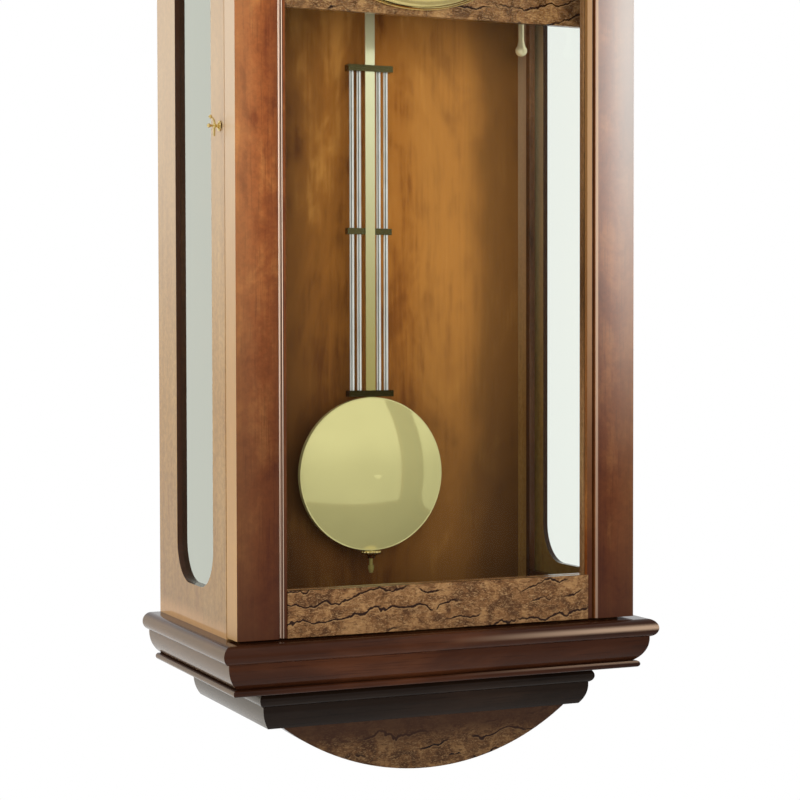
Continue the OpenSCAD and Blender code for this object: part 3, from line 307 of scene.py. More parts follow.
# side panels: the palest of the stained parts, paler partly as painted reflection, with painted shade low
# down, a painted glow near the bottom and a pale painted reflection higher up; dark in the window openings
sideWood = dict(
    caseWood,
    dark=tone(168, 122, 62),
    mid=tone(182, 138, 74),
    light=tone(194, 152, 88),
    coat=gloss,
    seed=1.3,
    toningAndPaintedLightRows=[("z", -0.5, -0.69, 0.2), ("z", -0.674, -0.688, 0.6, tone(222, 168, 106)),
           ("z", -0.56, -0.26, 0.55, tone(232, 206, 174))],
    cut={"colour": tone(56, 32, 18), "turned": (0.75, 0.35), "behind": -0.158},
)
for side in ("side_panel_left", "side_panel_right"):
    wear(stainedWood(side + "Finish", sideWood), side)

# door stiles: golden brown, redder and darker downwards and at their inner edges, partly toning and partly
# painted shade
stileWood = dict(
    caseWood,
    dark=tone(116, 54, 22),
    mid=tone(148, 80, 36),
    light=tone(174, 106, 52),
    coat=dulledSatin,
    seed=2.1,
    cloud=(30, 5, 0.62, 0.4),
    cloudRun=0.62,
    toningAndPaintedLightRows=[("X", 0.136, 0.158, 0.26, tone(184, 138, 92)), ("z", -0.3, -0.62, 0.74),
           ("X", 0.15, 0.121, 0.42), ("z", -0.6, -0.69, 0.6)],
    frontOnly=True,
    # painted reflection on the door's edges and back
    paintedFlankSheen={"low": tone(200, 156, 92), "high": tone(232, 206, 170), "turned": (0.5, 0.9, 0.8),
           "beyond": 0.14, "upward": (-0.55, -0.25)},
    # painted shade and painted highlights in the groove beside the bead
    # the lines are (place across the groove, share) stops
    quirk={"from": 0.12, "width": 0.01, "dark": tone(62, 32, 12), "pale": tone(244, 222, 198),
           "paintedShadeLines": [(0.3, 0.0), (0.34, 0.7), (0.37, 0.7), (0.4, 0.0),
                         (0.44, 0.0), (0.47, 1.0), (0.53, 1.0), (0.56, 0.0)],
           "paintedHighlightLines": [(0.37, 0.0), (0.4, 0.8), (0.43, 0.8), (0.46, 0.0),
                         (0.53, 0.0), (0.56, 1.0), (0.66, 1.0), (0.7, 0.0)],
           "upward": (-0.68, -0.34, 1.0, 0.42)},
)
rightStileWood = dict(
    stileWood,
    seed=3.4,
    # a painted reflection on the stile's upper outer part
    paintedReflectionArea={"colour": tone(208, 206, 202), "upward": (-0.6, -0.23, 0.74),
            "outward": (0.126, 0.156, 1.0, 0.45)},
    # painted shade and painted highlights in the groove, placed for the right stile
    quirk=dict(stileWood["quirk"], pale=tone(196, 166, 140),
               paintedShadeLines=[(0.64, 0.0), (0.68, 0.84), (0.73, 0.84), (0.76, 0.0)],
               paintedHighlightLines=[(0.75, 0.0), (0.79, 0.9), (0.88, 0.9), (0.96, 0.0)]),
    bead={"colour": tone(172, 130, 80), "inward": (0.1268, 0.126, 0.75), "upward": (-0.66, -0.3)},
)
wear(stainedWood("stile_leftFinish", stileWood), "stile_left")
wear(stainedWood("stile_rightFinish", rightStileWood), "stile_right")

stopWood = dict(caseWood, dark=tone(104, 72, 46), mid=tone(150, 108, 70), light=tone(180, 134, 90),
                seed=0.4)
wear(stainedWood("glassStopFinish", stopWood), "glass_stops")

beadWood = dict(caseWood, dark=tone(56, 34, 20), mid=tone(100, 66, 40), light=tone(140, 98, 62), seed=3.2,
                toningAndPaintedLightRows=[("z", -0.3, -0.62, 0.5)])
wear(stainedWood("windowBeadFinish", beadWood), "window_beads")

shelfWood = dict(caseWood, dark=tone(90, 52, 28), mid=tone(140, 88, 50), light=tone(176, 122, 76), seed=4.4,
                 grain="x")
wear(stainedWood("shelfFinish", shelfWood), "movement_shelf")

upperTier = {
    "dark": tone(34, 16, 8),
    "mid": tone(52, 26, 13),
    "light": tone(74, 40, 21),
    "stops": (0.34, 0.5, 0.68),
    "coat": dict(satin, **{"Coat Roughness": 0.12, "Coat IOR": 1.21}),
    "cloud": (14, 5, 0.6, 0.3),
    "cloudRun": 0.3,
    "fleck": (800, 2, 0.5),
    "fleckRun": 0.03,
    "fleckPits": (0.6, 0.3, 0.55, 0.44),
    "paintedEndSheen": tone(158, 134, 102),     # the two side lengths are painted paler: painted reflection
    "uprightFaces": (0.95, 0.5, 0.42),
    "bump": 0.03,
    "bumpReach": 0.0002,
}
lowerTier = dict(upperTier, dark=tone(18, 11, 7), mid=tone(27, 18, 12), light=tone(38, 26, 18),
                 paintedEndSheen=tone(140, 126, 104))
# a painted highlight on the base moulding's nose and lip
noseHighlight = {
    "colour": tone(178, 150, 126),
    "nose": (-0.7025, -0.69),           # heights of the round nose and the lip under it
    "noseStops": [(0.2, 0.0), (0.5, 1.0), (0.6, 1.0), (0.9, 0.0)],
    "lip": (-0.716, -0.722),
    "lipFaces": (0.2, 0.8, 0.7),
    "notOnTop": (0.97, 0.9),
    "rightward": (-0.02, 0.17, 0.8),
}


# painted highlight along the round nose and the lip, more so to the right
def paintedNoseHighlight(finish, colour, edge, axes, slope):
    nose = finish.ramp(finish.spread(axes["z"], *edge["nose"]), edge["noseStops"])
    lip = finish.times(finish.spread(slope, *edge["lipFaces"]), finish.spread(axes["z"], *edge["lip"]))
    band = finish.times(finish.calc("MAXIMUM", nose, lip), finish.spread(slope, *edge["notOnTop"]))
    rightward = finish.spread(axes["x"], *edge["rightward"])
    return finish.mixed(finish.times(band, rightward), colour, edge["colour"])


# mouldings: the grain runs along each mitred length, across the front and front to back at the sides
def mouldingWood(name, wood, node, seed, edge=None):
    finish = Finish(name, wood["coat"])
    low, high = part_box(node)
    axes = finish.axes()
    side = finish.calc("GREATER_THAN", finish.less(finish.size(axes["x"]), high.x),
                       finish.less(low.y, axes["y"]))
    swap = finish.add("ShaderNodeCombineXYZ")
    for socket, a, b in zip(swap.inputs, "xy", "yx"):
        pick = finish.add("ShaderNodeMix", data_type="FLOAT")
        for target, v in zip((pick.inputs[0], pick.inputs[2], pick.inputs[3]), (side, axes[a], axes[b])):
            finish.feed(target, v)
        finish.feed(socket, pick.outputs[0])
    finish.feed(swap.inputs[2], axes["z"])
    along = swap.outputs[0]
    cloudPlace = finish.moved((wood["cloudRun"], 1, 1), (seed, seed, 0), place=along)
    cloud = finish.noise(cloudPlace, *wood["cloud"])
    fleck = finish.noise(finish.moved((wood["fleckRun"], 1, 1), place=along), *wood["fleck"])
    colour = finish.pitted(finish.shaded(cloud, wood), fleck, *wood["fleckPits"])
    slope = finish.axes(finish.facing)["z"]
    upright = finish.spread(finish.size(slope), *wood["uprightFaces"])
    # painted reflection: the side lengths painted paler
    colour = finish.mixed(finish.times(side, upright), colour, wood["paintedEndSheen"])
    if edge:
        colour = paintedNoseHighlight(finish, colour, edge, axes, slope)
    wear(finish.set(Base_Color=colour, Normal=finish.raised(fleck, wood["bump"], wood["bumpReach"])), node)


mouldingWood("baseUpperFinish", upperTier, "base_moulding_upper", 0.7, noseHighlight)
mouldingWood("baseLowerFinish", lowerTier, "base_moulding_lower", 1.9)
mouldingWood("crownLowerFinish", upperTier, "crown_moulding_lower", 2.7)
mouldingWood("crownUpperFinish", lowerTier, "crown_moulding_upper", 3.9)

backVeneer = {
    "dark": tone(128, 74, 28),
    "mid": tone(170, 108, 44),
    "light": tone(204, 140, 66),
    "stops": (0.36, 0.5, 0.64),
    "coat": {"Roughness": 0.5, "Specular IOR Level": 0.0, "Coat Weight": 0.5, "Coat Roughness": 0.4,
             "Coat IOR": 1.3},
    "cloud": (9, 6, 0.66, 0.9),
    "cloudRun": 0.5,
    "cloudShare": 0.58,
    "streak": (260, 3, 0.55, 0.3),
    "streakRun": 0.05,
    "streakShare": 0.2,
    "blotch": (60, 4, 0.62, 0.5),
    "blotchRun": 0.6,
    "blotchShare": 0.22,
    "darkeningColour": tone(48, 29, 16),
    # inside face: painted shade to the left, a painted glow right of the middle, darker at the right partly
    # as toning and partly as painted shade, and painted shade towards the bottom
    "toningAndPaintedLightRows": [("x", 0.03, -0.08, 0.74), ("x", 0.03, 0.07, 0.24, tone(226, 164, 88)),
              ("x", 0.088, 0.126, 0.6), ("z", -0.4, -0.66, 0.7)],
    "wobble": 0.08,
    "rear": tone(134, 98, 60),          # the unfinished face to the wall
    "rearShare": 0.62,
    "bump": 0.04,
    "bumpReach": 0.0002,
}


# streaked veneer, with painted shade and a painted glow on the inside face only
def veneer(name, look):
    finish = Finish(name, look["coat"])
    cloud, streak, blotch = (finish.noise(finish.moved((1, 1, look[layer + "Run"])), *look[layer])
                             for layer in ("cloud", "streak", "blotch"))
    fine = finish.plus(finish.times(streak, look["streakShare"]), finish.times(blotch, look["blotchShare"]))
    colour = finish.shaded(finish.plus(finish.times(cloud, look["cloudShare"]), fine), look)
    wobble = finish.times(finish.less(cloud, 0.5), look["wobble"])
    inside = finish.calc("LESS_THAN", finish.axes(finish.facing)["y"], 0.5)
    colour = toningAndPaintedLight(finish, colour, look, finish.axes(), wobble, inside)
    rear = finish.times(finish.less(1.0, inside), look["rearShare"])
    colour = finish.mixed(rear, colour, look["rear"])
    return finish.set(Base_Color=colour, Normal=finish.raised(streak, look["bump"], look["bumpReach"]))


wear(veneer("backVeneerFinish", backVeneer), "back_panel")

burlLook = {
    "dark": tone(92, 60, 34),
    "mid": tone(136, 95, 57),
    "light": tone(176, 133, 86),
    "stops": (0.4, 0.5, 0.6),
    "coat": dict(satin, **{"Coat Roughness": 0.2}),
    "mottle": (60, 6, 0.72, 0.9),
    "fleece": (620, 3, 0.6, 1.6),       # short pale feathers
    "fleeceStretch": (0.5, 1, 1.4),
    "fleeceTurn": (0, 0.3, 0),
    "fleeceSpread": (0.5, 0.66, 0.7),
    "feather": tone(204, 164, 114),
    "strand": (380, 4, 0.65, 1.0),      # dark ones that lean the other way
    "strandStretch": (0.4, 1, 1.5),
    "strandTurn": (0, -0.5, 0),
    "strandSpread": (0.52, 0.38, 0.7),
    "rows": 78,                         # rows of cracks in a metre
    "rise": 8,                          # how fast they climb to the right
    "bend": (42, 3, 0.5, 0.3),
    "bendBy": 2.1,                      # how many rows a crack wanders
    "ragged": (260, 3, 0.6, 0.4),
    "raggedBy": 0.22,
    "crackStretch": (1, 1, 0.6),
    "broken": (34, 2, 0.5, 0.2),        # where the cracks stop and start
    "brokenStretch": (0.45, 1, 1.4),
    "brokenShift": (5, 0, 2),
    "brokenSpread": (0.46, 0.52),
    "crack": tone(46, 25, 12),
    "crackStops": [(0.43, 0.0), (0.46, 1.0), (0.55, 1.0), (0.57, 0.0)],
    "lip": tone(186, 146, 100),         # a painted highlight on the upper edge of a crack
    "crackHighlightStops": [(0.36, 0.0), (0.42, 1.0), (0.45, 0.0)],
    "crackHighlightShare": 0.7,
    "warmth": (1, 0.96, 0.92),          # how far red, green and blue stay as it is shaded
    "fleeceRaised": 0.25,
    "bump": 0.4,
    "bumpReach": 0.0006,
}


# figured root veneer: mottled, with feathery strokes and broken dark cracks that wander across
def burl(name, look):
    finish = Finish(name, look["coat"])
    seed = look["seed"]
    ground = finish.moved(shift=(seed, 0, seed * 0.7))

    def layer(kind, stretch, shift=(0, 0, 0), turn=(0, 0, 0)):
        return finish.noise(finish.moved(stretch, shift, turn, ground), *look[kind])

    fleece = layer("fleece", look["fleeceStretch"], turn=look["fleeceTurn"])
    strand = layer("strand", look["strandStretch"], turn=look["strandTurn"])
    colour = finish.shaded(finish.noise(ground, *look["mottle"]), look)
    colour = finish.mixed(finish.spread(strand, *look["strandSpread"]), colour, look["dark"])
    colour = finish.mixed(finish.spread(fleece, *look["fleeceSpread"]), colour, look["feather"])
    axes = finish.axes(ground)
    bend = layer("bend", look["crackStretch"])
    ragged = layer("ragged", look["crackStretch"])
    row = finish.less(finish.times(axes["z"], look["rows"]), finish.times(axes["x"], look["rise"]))
    row = finish.plus(row, finish.times(bend, look["bendBy"]))
    row = finish.plus(row, finish.times(ragged, look["raggedBy"]))
    phase = finish.calc("FRACT", row)
    startX, startY, startZ = look["brokenShift"]
    broken = layer("broken", look["brokenStretch"], (seed + startX, startY, startZ))
    keep = finish.spread(broken, *look["brokenSpread"])
    crack = finish.times(finish.ramp(phase, look["crackStops"], smooth=False), keep)
    # painted highlight along each crack's upper edge
    lip = finish.times(finish.ramp(phase, look["crackHighlightStops"], smooth=False), keep, look["crackHighlightShare"])
    colour = finish.mixed(lip, colour, look["lip"])
    colour = finish.mixed(crack, colour, look["crack"])
    darker = tuple(look["shade"] * warm for warm in look["warmth"]) + (1,)
    colour = finish.mixed(1.0, colour, darker, "MULTIPLY")
    if "paintedShadowTop" in look:   # painted shadow along the top, under the moulding, with a wandering edge
        start, end, share, wander = look["paintedShadowTop"]
        edge = finish.plus(finish.axes()["z"], finish.times(bend, wander))
        colour = finish.mixed(finish.spread(edge, start, end, share), colour, look["crack"])
    height = finish.less(finish.times(fleece, look["fleeceRaised"]), crack)
    return finish.set(Base_Color=colour, Normal=finish.raised(height, look["bump"], look["bumpReach"]))


wear(burl("railBurl", dict(burlLook, shade=0.6, seed=0.31)), "bottom_rail", "top_rail")
# the apron's top is painted dark as the shadow under the base moulding
wear(burl("apronBurl", dict(burlLook, shade=0.33, seed=1.7, paintedShadowTop=(-0.78, -0.758, 0.9, 0.01))), "apron")
wear(burl("pedimentBurl", dict(burlLook, shade=0.33, seed=4.1)), "pediment")
wear(burl("dialBoardBurl", dict(burlLook, shade=0.8, seed=2.9)), "dial_board")
print("wood finished")

plainMetal = {
    "scratches": 0.06,
    "scratchGrain": (500, 3, 0.6),
    "run": (1, 1, 1),                   # how the scratches stretch along each axis
    "patch": (35, 3, 0.55, 0.4),        # slow patches of dulling
    "patchTint": (0.35, 0.7),
    "patchRough": (0.3, 0.7),
    "worn": 0.84,                       # how far the patches dull
    "bare": 1.0,                        # how much of it is bare metal and not satin lacquer
    "scratchDepth": 0.5,
    "bumpReach": 0.0001,
}
metals = {
    "polishedBrass": {"colour": tone(232, 206, 138), "rough": 0.1,
                      "on": ["hinge_case_leaves", "hinge_door_leaves", "latch_strike", "bezel",
                             "chime_drum", "suspension_bracket"]},
    "paleBrass": {"colour": tone(250, 238, 190), "rough": 0.12, "scratches": 0.03,
                  "scratchGrain": (300, 3, 0.6), "worn": 0.96, "bare": 0.4, "on": ["silence_rod"]},
    "bobBrass": {"colour": tone(219, 209, 144), "rough": 0.07, "scratches": 0.02,
                 "scratchGrain": (120, 3, 0.6), "worn": 0.97, "bare": 0.34, "on": ["pendulum_bob"]},
    "brushedBrass": {"colour": tone(208, 182, 112), "rough": 0.26, "scratches": 0.1,
                     "scratchGrain": (900, 3, 0.6), "run": (1, 1, 0.03),
                     "on": ["front_plate", "rear_plate", "hammer_frame"]},
    "wheelBrass": {"colour": tone(206, 170, 92), "rough": 0.22, "scratches": 0.08,
                   "on": ["centre_wheel", "minute_wheel", "hour_wheel", "third_wheel", "escape_wheel",
                          "time_barrel", "strike_barrel", "chime_barrel",
                          "hammer_1", "hammer_2", "hammer_3", "hammer_4"]},
    "stripBrass": {"colour": tone(255, 252, 206), "rough": 0.08, "scratches": 0.05,
                   "scratchGrain": (700, 3, 0.6), "run": (1, 1, 0.04), "worn": 0.97, "bare": 0.5,
                   # painted shade: the strip darker towards the bottom
                   "paintedShadeFade": ("z", -0.2, -0.54, tone(176, 160, 92)), "on": ["pendulum_strip"]},
    "brightSteel": {"colour": tone(186, 188, 190), "rough": 0.18, "scratches": 0.08,
                    "on": ["time_arbor", "strike_arbor", "chime_arbor", "anchor", "pendulum_leader"]},
    "zincSteel": {"colour": tone(168, 170, 172), "rough": 0.34, "scratches": 0.12, "on": ["hanger_plate"]},
    "rodChrome": {"colour": tone(255, 255, 250), "rough": 0.05, "scratches": 0.03,
                  "scratchGrain": (700, 3, 0.6), "run": (1, 1, 0.05), "bare": 0.45,
                  # a painted reflection: a dark line down each rod
                  "line": {"shift": 0.00076, "folds": (0.0115, 0.0031), "edges": (0.000624, 0.000336, 0.85),
                           "colour": tone(84, 80, 66)},
                  "on": ["pendulum_rods"]},
    "barBronze": {"colour": tone(106, 98, 62), "rough": 0.2, "scratches": 0.08,
                  "scratchGrain": (900, 3, 0.6), "run": (0.05, 1, 1),
                  # painted shade: the bars darker towards the bottom
                  "paintedShadeFade": ("z", -0.4, -0.5, tone(62, 54, 26)), "on": ["pendulum_bars"]},
    "chimeRodBronze": {"colour": tone(176, 140, 84), "rough": 0.24, "scratches": 0.1,
                       "scratchGrain": (900, 3, 0.6), "run": (1, 1, 0.02), "on": ["chime_rods"]},
    "dialPlateMetal": {"colour": tone(214, 190, 128), "rough": 0.22, "scratches": 0.1,
                       "scratchGrain": (1100, 3, 0.6), "run": (1, 1, 0.02), "on": ["dial_plate"]},
}


# a painted reflection: a dark line down each rod of a row. shift is how far it lies left of the rod's
# middle, and folding the row about folds lays the rods on top of each other.
def lined(finish, colour, line):
    away = finish.size(finish.plus(finish.axes()["x"], line["shift"]))
    for fold in line["folds"]:
        away = finish.size(finish.less(away, fold))
    return finish.mixed(finish.spread(away, *line["edges"]), colour, line["colour"])


# polished or brushed metal. paintedShadeFade is painted shade along an axis, (axis, start, end, colour):
# its own colour at start, that one at end
def metal(name, look):
    finish = Finish(name, {"Metallic": look["bare"]})
    colour, worn = look["colour"], look["worn"]
    scratch = finish.noise(finish.moved(look["run"]), *look["scratchGrain"])
    patch = finish.noise(finish.place, *look["patch"])
    if "paintedShadeFade" in look:
        axis, start, end, far = look["paintedShadeFade"]
        colour = finish.mixed(finish.spread(finish.axes()[axis], start, end), colour, far)
    if "line" in look:
        colour = lined(finish, colour, look["line"])
    dulled = finish.mixed(1.0, colour, (worn, worn, worn, 1), "MULTIPLY")
    tint = finish.mixed(finish.spread(patch, *look["patchTint"]), colour, dulled)
    roughness = finish.spread(patch, *look["patchRough"], look["rough"] + look["scratches"], look["rough"])
    return finish.set(Base_Color=tint, Roughness=roughness,
                      Normal=finish.raised(scratch, look["scratches"] * look["scratchDepth"],
                                           look["bumpReach"]))


metalFinishes = {}
for name, look in metals.items():
    metalFinishes[name] = metal(name, dict(plainMetal, **look))
    wear(metalFinishes[name], *look["on"])

mattPaint = {"coat": 0.0, "stops": (0.3, 0.7), "bumpReach": 0.0002}
paints = {
    "handBlack": {"low": tone(14, 14, 15), "high": tone(30, 30, 32), "rough": 0.3, "coat": 0.4,
                  "grain": (300, 4, 0.6), "bump": 0.05, "on": ["minute_hand", "hour_hand"]},
    "ironPaint": {"low": tone(34, 34, 36), "high": tone(62, 62, 64), "rough": 0.55,
                  "grain": (420, 4, 0.6), "bump": 0.35, "on": ["chime_block"]},
    "chapterPaint": {"low": tone(236, 231, 214), "high": tone(246, 243, 230), "rough": 0.42,
                     "grain": (260, 4, 0.6), "bump": 0.05, "on": ["chapter_ring"]},
}


# matt or glossy paint with a little grain in it
def paint(name, look):
    finish = Finish(name, {"Roughness": look["rough"], "Coat Weight": look["coat"]})
    grain = finish.noise(finish.place, *look["grain"])
    colour = finish.ramp(grain, list(zip(look["stops"], (look["low"], look["high"]))))
    return finish.set(Base_Color=colour, Normal=finish.raised(grain, look["bump"], look["bumpReach"]))


paintFinishes = {}
for name, look in paints.items():
    paintFinishes[name] = paint(name, dict(mattPaint, **look))
    wear(paintFinishes[name], *look["on"])
print("metal and paint finished")

sideGlass = {
    "tint": tone(250, 252, 249),
    "least": 0.02,                      # what a pane mirrors face on
    "power": 5.4,                       # how late it turns to a mirror at a glancing angle
    "mirror": tone(250, 252, 246),
    "leftMirror": tone(232, 237, 224),  # on the left of the clock
    "film": 0.5,                        # what a greyish film hides there
    "polish": 0.01,
}
doorGlass = dict(sideGlass, tint=tone(252, 253, 252), least=0.006, power=5.0, film=0.0)


# a thin pane: clear straight on, a mirror at a glancing angle, on its outer face alone
def paneGlass(name, look):
    finish = Finish(name, {})
    finish.tree.nodes.remove(finish.shader)
    clear = finish.add("ShaderNodeBsdfTransparent")
    clear.inputs[0].default_value = look["tint"]
    mirror = finish.add("ShaderNodeBsdfGlossy")
    mirror.inputs["Roughness"].default_value = look["polish"]
    left = finish.calc("LESS_THAN", finish.axes()["x"], 0.0)
    finish.feed(mirror.inputs["Color"], finish.mixed(left, look["mirror"], look["leftMirror"]))
    glance = finish.add("ShaderNodeLayerWeight").outputs["Facing"]
    share = finish.plus(finish.calc("POWER", glance, look["power"]), look["least"])
    share = finish.plus(share, finish.times(left, look["film"]))
    outer = finish.less(1.0, finish.add("ShaderNodeNewGeometry").outputs["Backfacing"])
    mix = finish.add("ShaderNodeMixShader")
    finish.feed(mix.inputs[0], finish.times(share, outer))
    finish.feed(mix.inputs[1], clear.outputs[0])
    finish.feed(mix.inputs[2], mirror.outputs[0])
    finish.feed(finish.tree.nodes["Material Output"].inputs["Surface"], mix.outputs[0])
    return finish.material


wear(paneGlass("sidePaneGlass", sideGlass), "side_glass")
wear(paneGlass("doorPaneGlass", doorGlass), "door_glass")
print("glass finished")


sharpEdge = math.radians(32)


# puts a built mesh on a CAD body, in place of CAD nodes if it stands for any
def place(name, shape, body, finish, slot, instead=()):
    bmesh.ops.recalc_face_normals(shape, faces=shape.faces)
    mesh = bpy.data.meshes.new(name)
    shape.to_mesh(mesh)
    shape.free()
    for face in mesh.polygons:
        face.use_smooth = True
    mesh.set_sharp_from_angle(angle=sharpEdge)
    mesh.materials.append(finish)
    piece = bpy.data.objects.new(name, mesh)
    bpy.context.scene.collection.objects.link(piece)
    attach(piece, body)
    if instead:
        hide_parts(*instead)


# joins rings of points into a skin, closed at both ends unless it is a loop of rings
def skin(shape, rings, loop=False):
    verts = [[shape.verts.new(p) for p in ring] for ring in rings]
    following = verts[1:] + verts[:1] if loop else verts[1:]
    for a, b in zip(verts, following):
        for i in range(len(a)):
            j = (i + 1) % len(a)
            shape.faces.new((a[i], a[j], b[j], b[i]))
    if not loop:
        shape.faces.new(verts[0])
        shape.faces.new(verts[-1])


# turned on a lathe: profile is (radius, height) in millimetres along axis, from centre in metres.
# grip cuts lobes into all that is wider than its "from" radius.
def turned(shape, profile, centre, axis, steps, grip=None, loop=False):
    rings = []
    for radius, height in profile:
        ring = []
        for i in range(steps):
            angle = 2 * math.pi * i / steps
            r = radius
            if grip and radius > grip["from"]:
                r -= grip["depth"] * (1 - math.cos(grip["lobes"] * angle)) / 2
            a, b = r * math.cos(angle) * mm, r * math.sin(angle) * mm
            offset = (height * mm, a, b) if axis == "x" else (a, b, height * mm)
            ring.append(Vector(centre) + Vector(offset))
        rings.append(ring)
    skin(shape, rings, loop)


# a bent round bar through points (metres) with a radius in millimetres at each
def bent(shape, points, radii, steps):
    rings = []
    for i, (point, radius) in enumerate(zip(points, radii)):
        run = (points[min(i + 1, len(points) - 1)] - points[max(i - 1, 0)]).normalized()
        side = run.cross(Vector((0, 1, 0))).normalized()
        up = side.cross(run)
        rings.append([point + (side * math.cos(a) + up * math.sin(a)) * radius * mm
                      for a in (2 * math.pi * k / steps for k in range(steps))])
    skin(shape, rings)


# a block with rounded edges, between two corners in metres
def eased(shape, low, high, rounding):
    block = bmesh.new()
    bmesh.ops.create_cube(block, size=1)
    low, high = Vector(low), Vector(high)
    for v in block.verts:
        v.co = Vector((a + (b - a) * (c + 0.5) for a, b, c in zip(low, high, v.co)))
    bmesh.ops.bevel(block, geom=block.edges[:], offset=rounding * mm, segments=3, affect="EDGES")
    corners = {v: shape.verts.new(v.co) for v in block.verts}
    for face in block.faces:
        shape.faces.new([corners[v] for v in face.verts])
    block.free()


# the door's latch key: a turned rose and finial, a bowed wing with a ball end, a straight wing, and
# the tongue behind the door with its hook
keyLook = {
    "centre": (0, -0.1536, -0.324),
    "profile": [(0.05, -169.7), (0.85, -169.5), (1.35, -169.0), (1.5, -168.3), (1.35, -167.6),
                (0.9, -167.1), (0.75, -166.4), (0.8, -165.6), (1.5, -165.2), (1.75, -164.4),
                (1.5, -163.6), (1.1, -163.2), (1.0, -162.7), (1.5, -162.1), (2.6, -161.7),
                (3.6, -161.3), (3.85, -160.9), (3.8, -160.4), (3.4, -160.25), (1.98, -160.22),
                (1.98, -149.55), (2.9, -149.5), (3.0, -149.2), (3.0, -144.9), (2.7, -144.65),
                (0.05, -144.62)],
    # each wing's points are (across, up, radius)
    "upperWing": [(-164.4, 0.6, 1.0), (-164.3, 2.4, 0.85), (-164.6, 3.9, 0.75), (-165.5, 5.2, 0.7),
                  (-166.5, 6.0, 0.65)],
    "lowerWing": [(-164.4, -0.6, 1.0), (-164.4, -2.6, 0.85), (-164.4, -4.8, 0.8), (-164.4, -6.8, 0.75),
                  (-164.4, -7.5, 0.5)],
    "wingSides": 16,
    "sides": 32,
    "ball": (-167.2, 6.4, 1.35),
    "ballPole": 0.03,
    "ballRings": 12,
    "ballSides": 20,
    "tongue": ((-0.1476, -0.003, -0.014), (-0.1446, 0.003, 0)),     # corners in metres from centre
    "hook": ((-0.1476, -0.007, -0.014), (-0.1446, 0, -0.011)),
    "rounding": 0.5,
}
key = bmesh.new()
_, axisY, axisZ = keyLook["centre"]
turned(key, keyLook["profile"], keyLook["centre"], "x", keyLook["sides"])
for wing in ("upperWing", "lowerWing"):
    bent(key, [Vector((x * mm, axisY, axisZ + z * mm)) for x, z, _ in keyLook[wing]],
         [r for _, _, r in keyLook[wing]], keyLook["wingSides"])
x, z, r = keyLook["ball"]
arc = [math.pi * k / keyLook["ballRings"] for k in range(keyLook["ballRings"] + 1)]
turned(key, [(max(r * math.sin(a), keyLook["ballPole"]), -r * math.cos(a)) for a in arc],
       (x * mm, axisY, axisZ + z * mm), "z", keyLook["ballSides"])
for block in ("tongue", "hook"):
    low, high = (tuple(c + d for c, d in zip(keyLook["centre"], corner)) for corner in keyLook[block])
    eased(key, low, high, keyLook["rounding"])
place("winged_latch_key", key, "latch", metalFinishes["polishedBrass"], "brass", ["latch_key"])

# the rating nut: a flange with grip lobes over a tapered neck
nutLook = {
    "profile": [(1.56, -0.05), (6.9, -0.05), (7.9, -0.4), (8.18, -0.9), (8.18, -2.1), (7.9, -2.6),
                (7.1, -2.95), (5.1, -3.05), (4.5, -3.5), (4.0, -4.3), (3.6, -5.3), (3.3, -5.95),
                (1.56, -5.98)],
    "grip": {"lobes": 16, "depth": 0.8, "from": 7},
    "steps": 192,
}
low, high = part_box("rating_nut")
nut = bmesh.new()
turned(nut, nutLook["profile"], ((low.x + high.x) / 2, (low.y + high.y) / 2, high.z), "z",
       nutLook["steps"], nutLook["grip"], True)
place("lobed_rating_nut", nut, "nut", metalFinishes["polishedBrass"], "brass", ["rating_nut"])

# the dial's printed hours and minute track: thin raised ink on the chapter ring
dialLook = {
    "ink": 0.08,            # all in millimetres
    "sunk": -0.02,          # the ink's foot, just under the paint
    "trackOut": 96.6,
    "trackIn": 92.6,
    "trackInk": 0.072,
    "lineWidth": 0.45,
    "hourMark": 0.95,       # half the width of the marks at the hours, and of the minute marks
    "minuteMark": 0.3,
    "numeralFoot": 71.5,
    "numeralTall": 17.5,
    "strokeStep": 0.01,     # each stroke of a letter lies this much lower than the one before
    "steps": 240,
}
# strokes of each letter: corners as (across, up), up from 0 to 1
letters = {
    "I": (4.6, [[(-1.15, 0), (1.15, 0), (1.15, 1), (-1.15, 1)],
                [(-1.9, 0), (1.9, 0), (1.15, 0.05), (-1.15, 0.05)],
                [(-1.15, 0.95), (1.15, 0.95), (1.9, 1), (-1.9, 1)]]),
    "V": (9.4, [[(-4.3, 1), (-1.9, 1), (0.75, 0), (-0.55, 0)],
                [(3.1, 1), (3.8, 1), (0.75, 0), (0.2, 0.06)],
                [(-4.9, 1), (-4.7, 0.965), (-1.5, 0.965), (-1.3, 1)],
                [(2.3, 1), (2.5, 0.965), (4.4, 0.965), (4.6, 1)]]),
    "X": (9.4, [[(-4.2, 1), (-1.8, 1), (4.2, 0), (1.8, 0)],
                [(3.1, 1), (3.8, 1), (-3.1, 0), (-3.8, 0)],
                [(-4.8, 1), (-4.6, 0.965), (-1.4, 0.965), (-1.2, 1)],
                [(2.3, 1), (2.5, 0.965), (4.4, 0.965), (4.6, 1)],
                [(1.2, 0), (1.4, 0.035), (4.6, 0.035), (4.8, 0)],
                [(-4.6, 0), (-4.4, 0.035), (-2.5, 0.035), (-2.3, 0)]]),
}
hours = ["XII", "I", "II", "III", "IIII", "V", "VI", "VII", "VIII", "IX", "X", "XI"]
low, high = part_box("chapter_ring")
dialMiddle, paintedFace = (low.z + high.z) / 2, low.y
ink = bmesh.new()


# across and up in millimetres, at an angle clockwise from twelve
def onDial(across, up, angle, proud):
    return Vector(((up * math.sin(angle) + across * math.cos(angle)) * mm, paintedFace - proud * mm,
                   dialMiddle + (up * math.cos(angle) - across * math.sin(angle)) * mm))


def inked(corners, angle, proud):
    skin(ink, [[onDial(a, u, angle, h) for a, u in corners] for h in (dialLook["sunk"], proud)])


